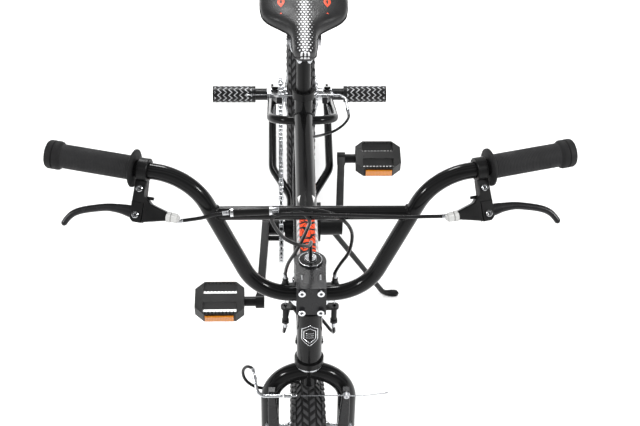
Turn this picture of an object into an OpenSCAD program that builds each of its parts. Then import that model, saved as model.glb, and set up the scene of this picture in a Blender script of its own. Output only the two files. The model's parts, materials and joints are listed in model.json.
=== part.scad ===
// Freestyle BMX bicycle with a brake-cable rotor at the head tube.
// Millimetres. +X forward, +Y to the rider's left, +Z up.
// The origin is on the ground, midway between the two axles.

/* [Layout] */
// Distance between the front and rear axles
wheelbase = 950; // [920:1:1000]
// Steering axis angle above the horizontal
head_angle = 74; // [72:0.5:76]
// Front axle's distance in front of the steering axis
fork_offset = 35; // [32:1:42]
// Bottom bracket's distance in front of the rear axle
bb_forward = 377.4; // [374:0.1:400]
// Bottom bracket's height above the axles
bb_rise = 34.4; // [25:0.1:40]
// Seat tube angle above the horizontal
seat_angle = 71; // [69:0.5:73]

/* [Wheels] */
// Outer radius of the tyres
tyre_radius = 254; // [250:1:258]
// Width of the tyres
tyre_width = 54; // [46:1:56]
// Outer radius of the rims
rim_radius = 209; // [207:0.5:211]
// Width of the rims
rim_width = 32; // [30:0.5:33]
// Radial depth of the rims
rim_depth = 19; // [17:0.5:21]
// Spokes in each wheel
spoke_count = 36; // [36]
// Spoke diameter
spoke_dia = 1.8; // [1.6:0.1:2]
// Width between the front dropouts
front_hub_width = 100; // [96:1:104]
// Width between the rear dropouts
rear_hub_width = 110; // [108:1:114]
// Front axle diameter
front_axle_dia = 10; // [9:0.1:12]
// Rear axle diameter
rear_axle_dia = 14; // [12:0.1:15]

/* [Frame] */
// Length of the head tube
head_length = 112; // [105:1:120]
// Outer diameter of the head tube
head_tube_dia = 38; // [36:0.2:40]
// Outer diameter of the top tube
top_tube_dia = 34; // [30:0.2:36]
// Outer diameter of the down tube
down_tube_dia = 38; // [34:0.2:40]
// Outer diameter of the seat tube
seat_tube_dia = 31.8; // [31:0.1:34]
// Length of the seat tube above the bottom bracket
seat_tube_length = 294; // [280:1:310]
// Outer diameter of the seat stays and chain stays
stay_dia = 15.9; // [14:0.1:17]
// Distance of the stays from the middle plane beside the wheel
stay_y = 59; // [57:0.5:61]
// Wall thickness of the frame tubes
tube_wall = 1.6; // [1.2:0.1:2.2]
// Outer diameter of the bottom bracket shell
bb_shell_dia = 57; // [56:0.5:58]
// Width of the bottom bracket shell
bb_shell_width = 68; // [66:1:70]
// Thickness of the dropout plates
dropout_thickness = 5; // [4:0.5:6]

/* [Fork and steering] */
// Axle to crown distance along the steering axis
crown_top = 314; // [310:1:320]
// Outer diameter of the fork legs
leg_dia = 28.6; // [26:0.2:30]
// Distance of the fork legs from the middle plane
leg_y = 60; // [58:0.5:62]
// Outer diameter of the steerer tube
steerer_dia = 28.6; // [25.4:0.2:30]
// Height of each headset cup
cup_height = 10; // [9:0.5:12]
// Outer diameter of the headset cups
cup_dia = 44.6; // [43:0.2:45]

/* [Handlebar] */
// Outer diameter of the handlebar
bar_dia = 22.2; // [20:0.2:26.8]
// Outer diameter of the crossbar
crossbar_dia = 19; // [16:0.5:20]
// Height of the grips above the clamp
bar_rise = 199; // [190:1:210]
// Height of the crossbar above the clamp
crossbar_rise = 141; // [130:1:150]
// Stem reach from the steering axis to the bar
stem_reach = 47; // [45:0.5:50]
// Length of the grips
grip_length = 124; // [115:1:130]
// Diameter of the grips
grip_dia = 33; // [31:0.5:35]
// Half of the handlebar's overall width
bar_half_width = 354; // [340:1:365]
// How far the grip ends sit behind the bar's upright plane
bar_backsweep = 53; // [45:1:60]

/* [Drive] */
// Teeth on the chainring
chainring_teeth = 32; // [32]
// Teeth on the freewheel
freewheel_teeth = 16; // [16]
// Chain pitch
chain_pitch = 12.7; // [12.7]
// Number of chain links
chain_links = 84; // [84]
// Chain line's distance from the middle plane
chain_line = 40.5; // [40:0.1:41]
// Length of each crank arm between axes
crank_length = 170; // [165:1:175]
// Distance of the pedal middles from the middle plane
pedal_y = 153.5; // [150:0.5:157]
// Diameter of the pedal spindles
pedal_spindle_dia = 12; // [10:0.2:14.4]

/* [Brakes] */
// Distance from the axle to a brake arm's pivot
boss_radius = 176; // [174:1:178]
// Distance of a brake arm's pivot from the middle plane
boss_y = 52; // [51:0.5:54]
// Diameter of the brake arm pivots
boss_dia = 8; // [7:0.1:9.6]
// Length of a brake arm from pivot to cable
arm_length = 98; // [94:1:102]
// Gap from a brake pad to the rim
pad_gap = 3; // [2.6:0.1:3.5]
// Diameter of the brake cable housing
cable_dia = 5; // [4:0.2:5.6]

/* [Seat] */
// Seat post diameter
seat_post_dia = 25.4; // [25:0.1:27]
// Height of the top of the saddle
saddle_top = 720; // [700:1:760]
// Length of the saddle
saddle_length = 245; // [235:1:255]
// Width of the saddle
saddle_width = 155; // [145:1:160]

/* [Pegs and stand] */
// Diameter of the foot pegs
peg_dia = 35; // [33:0.5:38]
// Length of the gripped part of a peg
peg_length = 90; // [85:1:95]
// Diameter of the kickstand leg
stand_dia = 11; // [10:0.5:12]

/* [Clearances] */
// Radial clearance of a running fit
run_clear = 0.05; // [0.03:0.01:0.08]
// Gap between faces of pieces that move on each other
face_gap = 0.3; // [0.2:0.05:0.5]
// Gap left at a welded or seated joint
seat_gap = 0.1; // [0.05:0.05:0.15]

/* [Hidden] */
$fn = 48;

black = "#141416";
dark = "#26272a";
rubber = "#1c1c1d";
silver = "#c9ccd0";
amber = "#e07a10";
white = "#ececea";

// Layout points
rear_centre = [-wheelbase / 2, 0, tyre_radius];
front_centre = [wheelbase / 2, 0, tyre_radius];
bb = rear_centre + [bb_forward, 0, bb_rise];
steer_up = [-cos(head_angle), 0, sin(head_angle)];
steer_ahead = [sin(head_angle), 0, cos(head_angle)];
steer_base = front_centre - fork_offset * steer_ahead;
seat_up = [-cos(seat_angle), 0, sin(seat_angle)];
seat_tube_top = bb + seat_tube_length * seat_up;

// Heights along the steering axis, from the point nearest the front axle
leg_r = leg_dia / 2;
steerer_r = steerer_dia / 2;
race_bottom = crown_top - 2.5;
arch_height = race_bottom - seat_gap - leg_r;
cup_bottom = crown_top + 2;
head_bottom = cup_bottom + cup_height;
head_top = head_bottom + head_length;
cup_top = head_top + cup_height;
upper_plate_height = cup_top + 15;
upper_plate_thickness = 4;
stem_bottom = upper_plate_height + upper_plate_thickness + 1;
stem_height = 44;
stem_top = stem_bottom + stem_height;
stem_width = 42;
bar_height = stem_bottom + stem_height / 2 + 1.7;
steerer_bottom = arch_height - 21;
steerer_top = stem_top - 2;
steerer_bore = steerer_r - 2.3;

// Frame tube ends
head_tube_r = head_tube_dia / 2;
top_tube_front = on_steer(0, 0, head_top - 26);
top_tube_back = bb + (seat_tube_length - 52) * seat_up;
down_tube_front = on_steer(0, 0, head_bottom + 30);
stay_r = stay_dia / 2;
stay_joint = bb + (seat_tube_length - 65) * seat_up;
stay_reach = norm(stay_joint - rear_centre);
stay_angle = atan2(stay_joint[2] - rear_centre[2], stay_joint[0] - rear_centre[0]);
hoop_height = stay_reach - 21;
seat_tube_r = seat_tube_dia / 2;

// Rotor rings
rotor_ear_y = 36;
rotor_ring_in = cup_dia / 2 + 0.8;
rotor_ring_out = rotor_ring_in + 8;
rotor_lower_height = cup_top - 1.5;
rotor_ring_thickness = 4;
rotor_upper_height = rotor_lower_height + rotor_ring_thickness + face_gap;
lower_plate_height = head_top - 14;
adjuster_height = 13;
lower_adjuster_height = 28;
cable_top_end = upper_plate_height + upper_plate_thickness + adjuster_height + 0.2;
cable_low_end = lower_plate_height - lower_adjuster_height - 0.2;

// Handlebar path, beside the steering axis
bar_r = bar_dia / 2;
bar_half_bottom = 74;
bar_half_top = 160;
bar_upsweep = 3.3;
bar_plane_point = on_steer(stem_reach, bar_half_top, bar_height + bar_rise);
grip_outer = on_steer(stem_reach - bar_backsweep, bar_half_width,
    bar_height + bar_rise + bar_upsweep);
grip_way = unit(grip_outer - bar_plane_point);
grip_inner = grip_outer - grip_length * grip_way;

// Brake lever frame: u along the bar outwards, v forward and down
lever_seat = grip_inner - 12 * grip_way;
lever_reach_way = unit([cos(37), 0, -sin(37)] - ([cos(37), 0, -sin(37)] * grip_way) * grip_way);
lever_pivot = [0, 60];
lever_pin_r = 3;

// Drive geometry
ring_pitch_r = chain_pitch / 2 / sin(180 / chainring_teeth);
wheel_pitch_r = chain_pitch / 2 / sin(180 / freewheel_teeth);
centre_gap = norm(bb - rear_centre);
wrap_tilt = asin((ring_pitch_r - wheel_pitch_r) / centre_gap);
drive_tilt = atan2(bb_rise, bb_forward);
run_length = centre_gap * cos(wrap_tilt);
wheel_wrap = wheel_pitch_r * (180 - 2 * wrap_tilt) * PI / 180;
ring_wrap = ring_pitch_r * (180 + 2 * wrap_tilt) * PI / 180;
chain_length = 2 * run_length + wheel_wrap + ring_wrap;
roller_r = 3.9;
crank_spindle_r = 11;
arm_inner_y = 63;

// Brakes
arm_plane = 24;
pad_radius = rim_radius - 7;
rim_half = rim_width / 2;

// Kickstand
stand_pivot = [bb[0] - 30, 46, bb[2] - 26];
stand_foot = [bb[0] - 36, 176, stand_dia / 2];
stand_toe = [bb[0] - 36, 208, 4.5];
stand_way = unit(stand_foot - stand_pivot);
stand_folded = [-0.985, 0.17, -0.03];
stand_axis = unit(cross(stand_way, stand_folded));

// Cable routes: points chosen along each cable
front_cable_route = concat(
    [
        [333, 181, 884], [332, 150, 882], [331, 116, 880], [331, 63, 883], [331, 23, 885],
        [331, -17, 888], [331, -42, 887], [331, -54, 879], [332, -51, 862], [328, -38, 830],
        [323, -20, 808], [311, -5, 788], [298, 0, 778]
    ],
    [for (height = [545, 530, 500, 440, 340, 300, 284, 272]) on_steer(0, 0, height)],
    [for (p = [
        [-6, -9, 264], [-12, -24, 262], [-18, -36, 258], [-25, -48, 244], [-26, -64, 234],
        [-24, -84, 240], [-22, -98, 256], [-20, -102, 276], [-14, -96, 292], [-4, -87, 298],
        [4, -84.4, 293.4]
    ]) on_steer(p[0], p[1], p[2])]
);
front_wire_route = [[24, -40, 275], [24, 0, 275], [24, 52, 275]];
rear_single_route = [[333, -181, 875], [330, -150, 878], [326, -128, 881], [325, -111, 883]];
rear_left_route = [
    [325, -54, 889.4], [325, -30, 891], [325, -4, 889], [325, 23, 881], [327, 44, 864],
    [319, 55, 826], [315, 53, 780], [309, 42, 740],
    on_steer(0, rotor_ear_y, cable_top_end + 10), on_steer(0, rotor_ear_y, cable_top_end)
];
rear_right_route = [
    [325, -54, 883.6], [325, -30, 884], [325, -12, 880], [327, -4, 866], [320, -6, 842],
    [314, -13, 806], [311, -21, 776], [308, -32, 742],
    on_steer(0, -rotor_ear_y, cable_top_end + 10), on_steer(0, -rotor_ear_y, cable_top_end)
];
lower_left_route = [
    on_steer(0, rotor_ear_y, cable_low_end), on_steer(0, rotor_ear_y, cable_low_end - 8),
    [334, 37, 600], [321, 34, 582], [300, 24, 573], [280, 8, 577], [262, -9, 590],
    [249, -17.2, 601.2]
];
lower_right_route = [
    on_steer(0, -rotor_ear_y, cable_low_end), on_steer(0, -rotor_ear_y, cable_low_end - 8),
    [333, -38, 600], [321, -38, 584], [300, -35, 578], [280, -30, 585], [262, -26, 597],
    [249, -23, 607]
];
rear_lower_route = concat(
    [
        [240, -20, 607], [180, -19, 592], [100, -19, 573], [20, -19, 554], [-60, -17.5, 534],
        [-105, -14, 517], [-135, 2, 503], [-153, 20, 487]
    ],
    [for (p = [[-27, 36, 371], [-23, 58, 352], [-14, 76, 334], [-3, 86.4, 318], [6.7, 86.2, 306.6]])
        on_stay(p[0], p[1], p[2])]
);
rear_wire_route = [[24, 30, 275], [24, 0, 275], [24, -38, 275]];

function unit(v) = v / norm(v);
function on_steer(f, y, s) = steer_base + f * steer_ahead + [0, y, 0] + s * steer_up;
function on_stay(f, y, s) = rear_centre + f * [-sin(stay_angle), 0, cos(stay_angle)] + [0, y, 0]
    + s * [cos(stay_angle), 0, sin(stay_angle)];
function in_plane(angle) = [cos(angle), 0, sin(angle)];

// A point at distance u along the chain, from the top of the chainring rearwards
function chain_point(u) =
    u < run_length ?
        bb + ring_pitch_r * in_plane(drive_tilt + 90 + wrap_tilt)
            - u * in_plane(drive_tilt + wrap_tilt) :
    u < run_length + wheel_wrap ?
        rear_centre + wheel_pitch_r * in_plane(drive_tilt + 90 + wrap_tilt
            + (u - run_length) / wheel_pitch_r * 180 / PI) :
    u < 2 * run_length + wheel_wrap ?
        rear_centre + wheel_pitch_r * in_plane(drive_tilt - 90 - wrap_tilt)
            + (u - run_length - wheel_wrap) * in_plane(drive_tilt - wrap_tilt) :
        bb + ring_pitch_r * in_plane(drive_tilt - 90 - wrap_tilt
            + (u - 2 * run_length - wheel_wrap) / ring_pitch_r * 180 / PI);

function chain_angle(u) = let (p = chain_point(u) - bb) atan2(p[2], p[0]);
function wheel_angle(u) = let (p = chain_point(u) - rear_centre) atan2(p[2], p[0]);

// Smooth curve through points: steps points in each stretch
function smooth(points, steps) = concat(
    [for (i = [0:len(points) - 2], k = [0:steps - 1])
        let (
            t = k / steps,
            a = points[max(i - 1, 0)],
            b = points[i],
            c = points[i + 1],
            d = points[min(i + 2, len(points) - 1)]
        )
        0.5 * (2 * b + (c - a) * t + (2 * a - 5 * b + 4 * c - d) * t * t
            + (3 * b - a - 3 * c + d) * t * t * t)],
    [points[len(points) - 1]]
);

// Directions and sideways vectors carried along a path
function path_ways(path) = [for (i = [0:len(path) - 1])
    unit(path[min(i + 1, len(path) - 1)] - path[max(i - 1, 0)])];
function carried(ways) = [
    for (
        i = 0, side = unit(cross(ways[0], abs(ways[0][2]) < 0.9 ? [0, 0, 1] : [1, 0, 0]));
        i < len(ways);
        i = i + 1,
        side = i < len(ways) ? unit(side - (side * ways[i]) * ways[i]) : side
    ) side
];

// A round cord swept along a path with flat ends
module sweep_cord(path, r, sides = 8) {
    ways = path_ways(path);
    across = carried(ways);
    count = len(path);
    points = [for (i = [0:count - 1], k = [0:sides - 1])
        path[i] + r * (cos(360 * k / sides) * across[i]
            + sin(360 * k / sides) * cross(ways[i], across[i]))];
    walls = [for (i = [0:count - 2], k = [0:sides - 1])
        let (a = i * sides + k, b = i * sides + (k + 1) % sides)
        [a, a + sides, b + sides, b]];
    ends = [
        [for (k = [0:sides - 1]) k],
        [for (k = [0:sides - 1]) (count - 1) * sides + sides - 1 - k]
    ];
    polyhedron(points = points, faces = concat(walls, ends), convexity = 10);
}

// Places children so that their +Z runs from a towards b
module along(a, b) {
    way = b - a;
    translate(a) rotate([0, acos(way[2] / norm(way)), atan2(way[1], way[0])]) children();
}

module rod(a, b, r) {
    along(a, b) cylinder(h = norm(b - a), r = r);
}

module pipe(a, b, r, wall) {
    along(a, b) difference() {
        cylinder(h = norm(b - a), r = r);
        translate([0, 0, -1]) cylinder(h = norm(b - a) + 2, r = r - wall);
    }
}

// A path whose corners are rounded to bend_r, with steps points in each bend
function rounded(points, bend_r, steps = 5) =
    let (
        last = len(points) - 1,
        ways = [for (i = [0:last - 1]) unit(points[i + 1] - points[i])]
    )
    concat(
        [points[0]],
        [for (i = [1:1:last - 1], k = [0:steps])
            let (
                turn = acos(ways[i - 1] * ways[i]),
                start = points[i] - bend_r * tan(turn / 2) * ways[i - 1],
                inward = unit(ways[i] - ways[i - 1] * (ways[i - 1] * ways[i])),
                angle = turn * k / steps
            )
            start + bend_r * (1 - cos(angle)) * inward + bend_r * sin(angle) * ways[i - 1]],
        [points[last]]
    );

// A hollow tube swept along a path
module sweep_tube(path, r, wall, sides = 20) {
    ways = path_ways(path);
    across = carried(ways);
    count = len(path);
    shell = count * sides;
    points = [for (radius = [r, r - wall], i = [0:count - 1], k = [0:sides - 1])
        path[i] + radius * (cos(360 * k / sides) * across[i]
            + sin(360 * k / sides) * cross(ways[i], across[i]))];
    outside = [for (i = [0:count - 2], k = [0:sides - 1])
        let (a = i * sides + k, b = i * sides + (k + 1) % sides)
        [a, a + sides, b + sides, b]];
    inside = [for (f = outside) [f[3] + shell, f[2] + shell, f[1] + shell, f[0] + shell]];
    ends = [for (end = [0, count - 1], k = [0:sides - 1])
        let (a = end * sides + k, b = end * sides + (k + 1) % sides)
        end == 0 ? [a, b, b + shell, a + shell] : [b, a, a + shell, b + shell]];
    polyhedron(points = points, faces = concat(outside, inside, ends), convexity = 10);
}

// A tube along straight stretches joined by bends, exact where its bends are square
module square_tube_bends(points, bend_r, r, wall) {
    last = len(points) - 1;
    ways = [for (i = [0:last - 1]) unit(points[i + 1] - points[i])];
    cut = [for (i = [0:last]) (i == 0 || i == last) ? 0 : bend_r];
    union() {
        for (i = [0:last - 1])
            pipe(points[i] + cut[i] * ways[i], points[i + 1] - cut[i + 1] * ways[i], r, wall);
        for (i = [1:1:last - 1]) {
            middle = points[i] + bend_r * (ways[i] - ways[i - 1]);
            axis = cross(ways[i - 1], ways[i]);
            multmatrix([
                [-ways[i][0], ways[i - 1][0], axis[0], middle[0]],
                [-ways[i][1], ways[i - 1][1], axis[1], middle[1]],
                [-ways[i][2], ways[i - 1][2], axis[2], middle[2]],
                [0, 0, 0, 1]
            ])
            rotate_extrude(angle = 90) translate([bend_r, 0]) difference() {
                circle(r = r);
                circle(r = r - wall);
            }
        }
    }
}

// Frames of reference
module steer() { translate(steer_base) rotate([0, head_angle - 90, 0]) children(); }
module at_bb() { translate(bb) children(); }
module stay_frame() {
    translate(rear_centre) rotate([0, 90 - stay_angle, 0]) rotate([0, 0, 180]) children();
}
module lever_frame() {
    n = cross(grip_way, lever_reach_way);
    multmatrix([
        [grip_way[0], lever_reach_way[0], n[0], lever_seat[0]],
        [grip_way[1], lever_reach_way[1], n[1], lever_seat[1]],
        [grip_way[2], lever_reach_way[2], n[2], lever_seat[2]],
        [0, 0, 0, 1]
    ]) children();
}
module both_sides() {
    children();
    mirror([0, 1, 0]) children();
}
module across(y0, y1, r) {
    translate([0, y0, 0]) rotate([-90, 0, 0]) cylinder(h = y1 - y0, r = r);
}
// A 2D outline in the y and height plane, given a thickness forward
module plate_ahead(f0, f1) {
    translate([f0, 0, 0]) rotate([90, 0, 90]) linear_extrude(f1 - f0) children();
}
// A 2D outline in the x and z plane, from y0 to y1
module plate_across(y0, y1) {
    translate([0, y1, 0]) rotate([90, 0, 0]) linear_extrude(y1 - y0) children();
}

// Solids that others are cut back from
module head_tube_space() {
    steer() translate([0, 0, head_bottom - 1])
        cylinder(h = head_length + 2, r = head_tube_r + seat_gap);
}
module seat_tube_space() {
    rod(bb - 30 * seat_up, seat_tube_top + 10 * seat_up, seat_tube_r + seat_gap);
}
module bb_shell_space() {
    at_bb() across(-bb_shell_width / 2 - 1, bb_shell_width / 2 + 1, bb_shell_dia / 2 + seat_gap);
}
module dropout_space() {
    both_sides() translate(rear_centre) plate_across(
        rear_hub_width / 2 - seat_gap, rear_hub_width / 2 + dropout_thickness + seat_gap)
        offset_free_dropout(seat_gap);
}

// Frame
module head_tube() color(black) steer() difference() {
    translate([0, 0, head_bottom]) cylinder(h = head_length, r = head_tube_r);
    translate([0, 0, head_bottom - 1]) cylinder(h = head_length + 2, r = steerer_r + 1.4);
}

module top_tube() color(black) difference() {
    pipe(top_tube_front, top_tube_back, top_tube_dia / 2, tube_wall);
    head_tube_space();
    seat_tube_space();
}

module down_tube() color(black) difference() {
    pipe(down_tube_front, bb, down_tube_dia / 2, tube_wall);
    head_tube_space();
    seat_tube_space();
    bb_shell_space();
}

module seat_tube() color(black) difference() {
    rod(bb, seat_tube_top, seat_tube_r);
    rod(bb - 5 * seat_up, seat_tube_top + 5 * seat_up, seat_post_dia / 2 + seat_gap);
    bb_shell_space();
}

module bottom_bracket_shell() color(black) at_bb() difference() {
    across(-bb_shell_width / 2, bb_shell_width / 2, bb_shell_dia / 2);
    across(-bb_shell_width, bb_shell_width, bb_shell_dia / 2 - 3);
}

module chain_stays() color(black) difference() {
    both_sides() sweep_tube(rounded([
        bb + [-15, 21, -2],
        rear_centre + [bb_forward - 79, 21, bb_rise - 6],
        rear_centre + [222, stay_y - 2, 20],
        rear_centre + [20, stay_y - 1.5, 2]
    ], 60), stay_r, tube_wall);
    bb_shell_space();
    dropout_space();
}

module seat_stays() color(black) difference() {
    stay_frame() union() {
        sweep_tube(rounded([
            [0, stay_y, 30], [0, stay_y, hoop_height],
            [0, -stay_y, hoop_height], [0, -stay_y, 30]
        ], 44, 8), stay_r, tube_wall);
        both_sides() brake_boss(4);
    }
    seat_tube_space();
    dropout_space();
}

// Outline of a rear dropout, grown by g on every edge
module offset_free_dropout(g) {
    difference() {
        union() {
            circle(r = 22 + g);
            translate([0, -14 - g]) square([40 + g, 24 + 2 * g]);
            rotate(stay_angle) translate([0, -9 - g]) square([52 + g, 18 + 2 * g]);
        }
        if (g == 0) {
            circle(r = rear_axle_dia / 2 + run_clear);
            translate([-30, -rear_axle_dia / 2 - run_clear])
                square([30, rear_axle_dia + 2 * run_clear]);
        }
    }
}

module rear_dropouts() color(black) both_sides() translate(rear_centre)
    plate_across(rear_hub_width / 2, rear_hub_width / 2 + dropout_thickness)
    offset_free_dropout(0);

module headset_cups() color(black) steer() {
    for (low = [cup_bottom, head_top]) difference() {
        translate([0, 0, low]) cylinder(h = cup_height, r = cup_dia / 2);
        translate([0, 0, low - 1]) cylinder(h = cup_height + 2, r = steerer_r + run_clear);
    }
}

module bottom_bracket_cups() color(silver) at_bb() both_sides() difference() {
    across(bb_shell_width / 2 - 9, bb_shell_width / 2 - 1, bb_shell_dia / 2 - 3 - seat_gap);
    across(0, bb_shell_width, crank_spindle_r + run_clear);
}

module seat_clamp() color(black) translate(seat_tube_top - 13 * seat_up)
    rotate([0, seat_angle - 90, 0]) difference() {
    union() {
        cylinder(h = 14, r = seat_tube_r + 4);
        translate([-seat_tube_r - 13, -7, 0]) cube([14, 14, 14]);
    }
    translate([0, 0, -1]) cylinder(h = 16, r = seat_tube_r + seat_gap);
    translate([-seat_tube_r - 20, -1, -1]) cube([20, 2, 16]);
    translate([-seat_tube_r - 8, 0, 7]) rotate([90, 0, 0]) cylinder(h = 40, r = 3, center = true);
}

post_top = (saddle_top - 66 - bb[2]) / sin(seat_angle);
module seat_post() color(black)
    rod(bb + (seat_tube_length - 110) * seat_up, bb + post_top * seat_up, seat_post_dia / 2);

// Saddle rails with the clamp that holds them on the post
rail_y = 21;
rail_height = 16.2;
rail_r = 3.5;
rail_middle = bb + post_top * seat_up;
module saddle_rails() color(silver) {
    difference() {
        union() {
            translate(rail_middle + [0, 0, 8]) across(-30, 30, 10);
            rod(rail_middle - 12 * seat_up, rail_middle + 6 * seat_up, seat_post_dia / 2 + 4);
        }
        rod(rail_middle - 20 * seat_up, rail_middle + seat_gap * seat_up,
            seat_post_dia / 2 + seat_gap);
        both_sides() translate(rail_middle + [-40, rail_y, rail_height]) rotate([0, 90, 0])
            cylinder(h = 80, r = rail_r + seat_gap);
    }
    both_sides() translate(rail_middle) sweep_cord(rounded([
        [-104, rail_y + 14, rail_height], [-60, rail_y, rail_height],
        [30, rail_y, rail_height], [62, rail_y - 13, rail_height]
    ], 20, 3), rail_r, 10);
}

saddle_front = bb[0] - 37;
module saddle() color(black) hull() {
    translate([saddle_front - 19, 0, saddle_top - 19]) sphere(r = 17, $fn = 32);
    translate([saddle_front - 70, 0, saddle_top - 22]) sphere(r = 22, $fn = 32);
    both_sides() translate([saddle_front - saddle_length + 23, saddle_width / 2 - 30,
        saddle_top - 23]) sphere(r = 23, $fn = 32);
    both_sides() translate([saddle_front - saddle_length + 52, saddle_width / 2 - 16,
        saddle_top - 24]) sphere(r = 16, $fn = 32);
    both_sides() translate([saddle_front - 112, saddle_width / 2 - 19, saddle_top - 24])
        sphere(r = 15, $fn = 32);
}

// Wheels
module tyre_outline() {
    casing_r = tyre_width / 2;
    middle = tyre_radius - casing_r;
    bead_half = rim_half - 2.9;
    difference() {
        union() {
            intersection() {
                translate([middle, 0]) circle(r = casing_r + 2.5);
                translate([rim_radius + face_gap, -casing_r])
                    square([tyre_radius - rim_radius - face_gap, tyre_width]);
            }
            translate([rim_radius - 6, -bead_half]) square([14, 2 * bead_half]);
        }
        translate([middle, 0]) circle(r = casing_r - 5);
        translate([rim_radius - 8, -bead_half + 4]) square([16, 2 * bead_half - 8]);
    }
}
module tyre() color(rubber) rotate([90, 0, 0]) rotate_extrude() tyre_outline();

module rim() color(dark) rotate([90, 0, 0]) rotate_extrude() difference() {
    translate([rim_radius - rim_depth, -rim_half]) square([rim_depth, rim_width]);
    translate([rim_radius - 8, -rim_half + 2.8]) square([10, rim_width - 5.6]);
    translate([rim_radius - rim_depth + 3, -rim_half + 2.8])
        square([rim_depth - 13, rim_width - 5.6]);
}

flange_r = 27;
flange_hole_r = 22;
flange_thickness = 3.5;
// left and right are the outer faces of the hub's two flanges
module spokes(left, right) {
    sets = spoke_count / 4;
    rim_end = rim_radius - rim_depth - face_gap;
    step = 360 / sets;
    for (side = [0, 1], lead = [0, 1], k = [0:sets - 1]) {
        sign = side == 0 ? 1 : -1;
        face = side == 0 ? left : right;
        inner_face = face - flange_thickness;
        base = k * step + lead * step / 2 + side * step / 4;
        tip = base + (lead == 0 ? 60 : -60);
        start_y = lead == 0 ? face + spoke_dia / 2 + 2.1 : inner_face - spoke_dia / 2 - seat_gap;
        rod([flange_hole_r * cos(base), sign * start_y, flange_hole_r * sin(base)],
            [rim_end * cos(tip), sign * 3, rim_end * sin(tip)], spoke_dia / 2);
    }
}

front_flange = 34.5;
rear_flange_left = 36;
rear_flange_right = 27.5;
module front_hub() color(silver) translate(front_centre) difference() {
    union() {
        across(-front_hub_width / 2 + 4, front_hub_width / 2 - 4, 13);
        both_sides() across(front_flange - flange_thickness, front_flange, flange_r);
    }
    across(-front_hub_width, front_hub_width, front_axle_dia / 2 + run_clear);
}
carrier_r = 17;
module rear_hub() color(silver) translate(rear_centre) difference() {
    union() {
        across(-rear_hub_width / 2 + 4, rear_hub_width / 2 - 4, 14);
        across(-rear_hub_width / 2 + 7, -rear_flange_right + flange_thickness, carrier_r);
        across(-rear_flange_right, -rear_flange_right + flange_thickness, flange_r);
        across(rear_flange_left - flange_thickness, rear_flange_left, flange_r);
    }
    across(-rear_hub_width, rear_hub_width, rear_axle_dia / 2 + run_clear);
}
module front_spokes() color(silver) translate(front_centre) spokes(front_flange, front_flange);
module rear_spokes() color(silver) translate(rear_centre)
    spokes(rear_flange_left, rear_flange_right);
module front_tyre() translate(front_centre) tyre();
module rear_tyre() translate(rear_centre) tyre();
module front_rim() translate(front_centre) rim();
module rear_rim() translate(rear_centre) rim();

// Axles, each with its collars and nuts
module axle(hub_width, axle_dia, plate, end, nut_r) {
    union() {
        across(-end, end, axle_dia / 2);
        both_sides() across(hub_width / 2 - 4 + face_gap, hub_width / 2 - seat_gap,
            axle_dia / 2 + 4.5);
    }
    both_sides() difference() {
        translate([0, hub_width / 2 + plate + seat_gap, 0]) rotate([-90, 0, 0])
            cylinder(h = 8, r = nut_r, $fn = 6);
        across(0, hub_width, axle_dia / 2 + seat_gap);
    }
}
module front_axle() color(silver) translate(front_centre)
    axle(front_hub_width, front_axle_dia, dropout_thickness,
        front_hub_width / 2 + dropout_thickness + 11, front_axle_dia / 2 + 4.2);
peg_start = rear_hub_width / 2 + dropout_thickness + 8 + 2 * seat_gap;
peg_neck = 25;
module rear_axle() color(silver) translate(rear_centre)
    axle(rear_hub_width, rear_axle_dia, dropout_thickness, peg_start + peg_neck + 6,
        rear_axle_dia / 2 + 5.5);

module rear_pegs() color(black) translate(rear_centre) both_sides() difference() {
    union() {
        across(peg_start, peg_start + peg_neck + 1, 12.5);
        across(peg_start + peg_neck, peg_start + peg_neck + peg_length, peg_dia / 2);
    }
    across(0, peg_start + peg_neck + 10, rear_axle_dia / 2 + seat_gap);
    across(peg_start + peg_neck + 8, peg_start + peg_neck + peg_length + 1, peg_dia / 2 - 3.5);
}

// Chain: inner links carry the rollers, outer plates join them
plate_thickness = 1.2;
inner_plate_y = 1.7;
module link_outline(length) {
    union() {
        circle(r = 3.9);
        translate([length, 0]) circle(r = 3.9);
        translate([0, -2.9]) square([length, 5.8]);
    }
}
module inner_link(length) {
    union() {
        for (y = [inner_plate_y, -inner_plate_y - plate_thickness])
            plate_across(y, y + plate_thickness) link_outline(length);
        for (x = [0, length]) translate([x, 0, 0]) across(-inner_plate_y, inner_plate_y, roller_r - 0.3);
    }
}
module outer_plates(length) {
    low = inner_plate_y + plate_thickness + seat_gap;
    for (y = [low, -low - plate_thickness])
        plate_across(y, y + plate_thickness) link_outline(length);
}
module chain() color(silver) for (i = [0:chain_links - 1]) {
    u = i * chain_length / chain_links;
    a = chain_point(u);
    b = chain_point((u + chain_length / chain_links) % chain_length);
    translate([a[0], -chain_line, a[2]]) rotate([0, -atan2(b[2] - a[2], b[0] - a[0]), 0]) {
        if (i % 2 == 0) inner_link(norm(b - a));
        else outer_plates(norm(b - a));
    }
}

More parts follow.
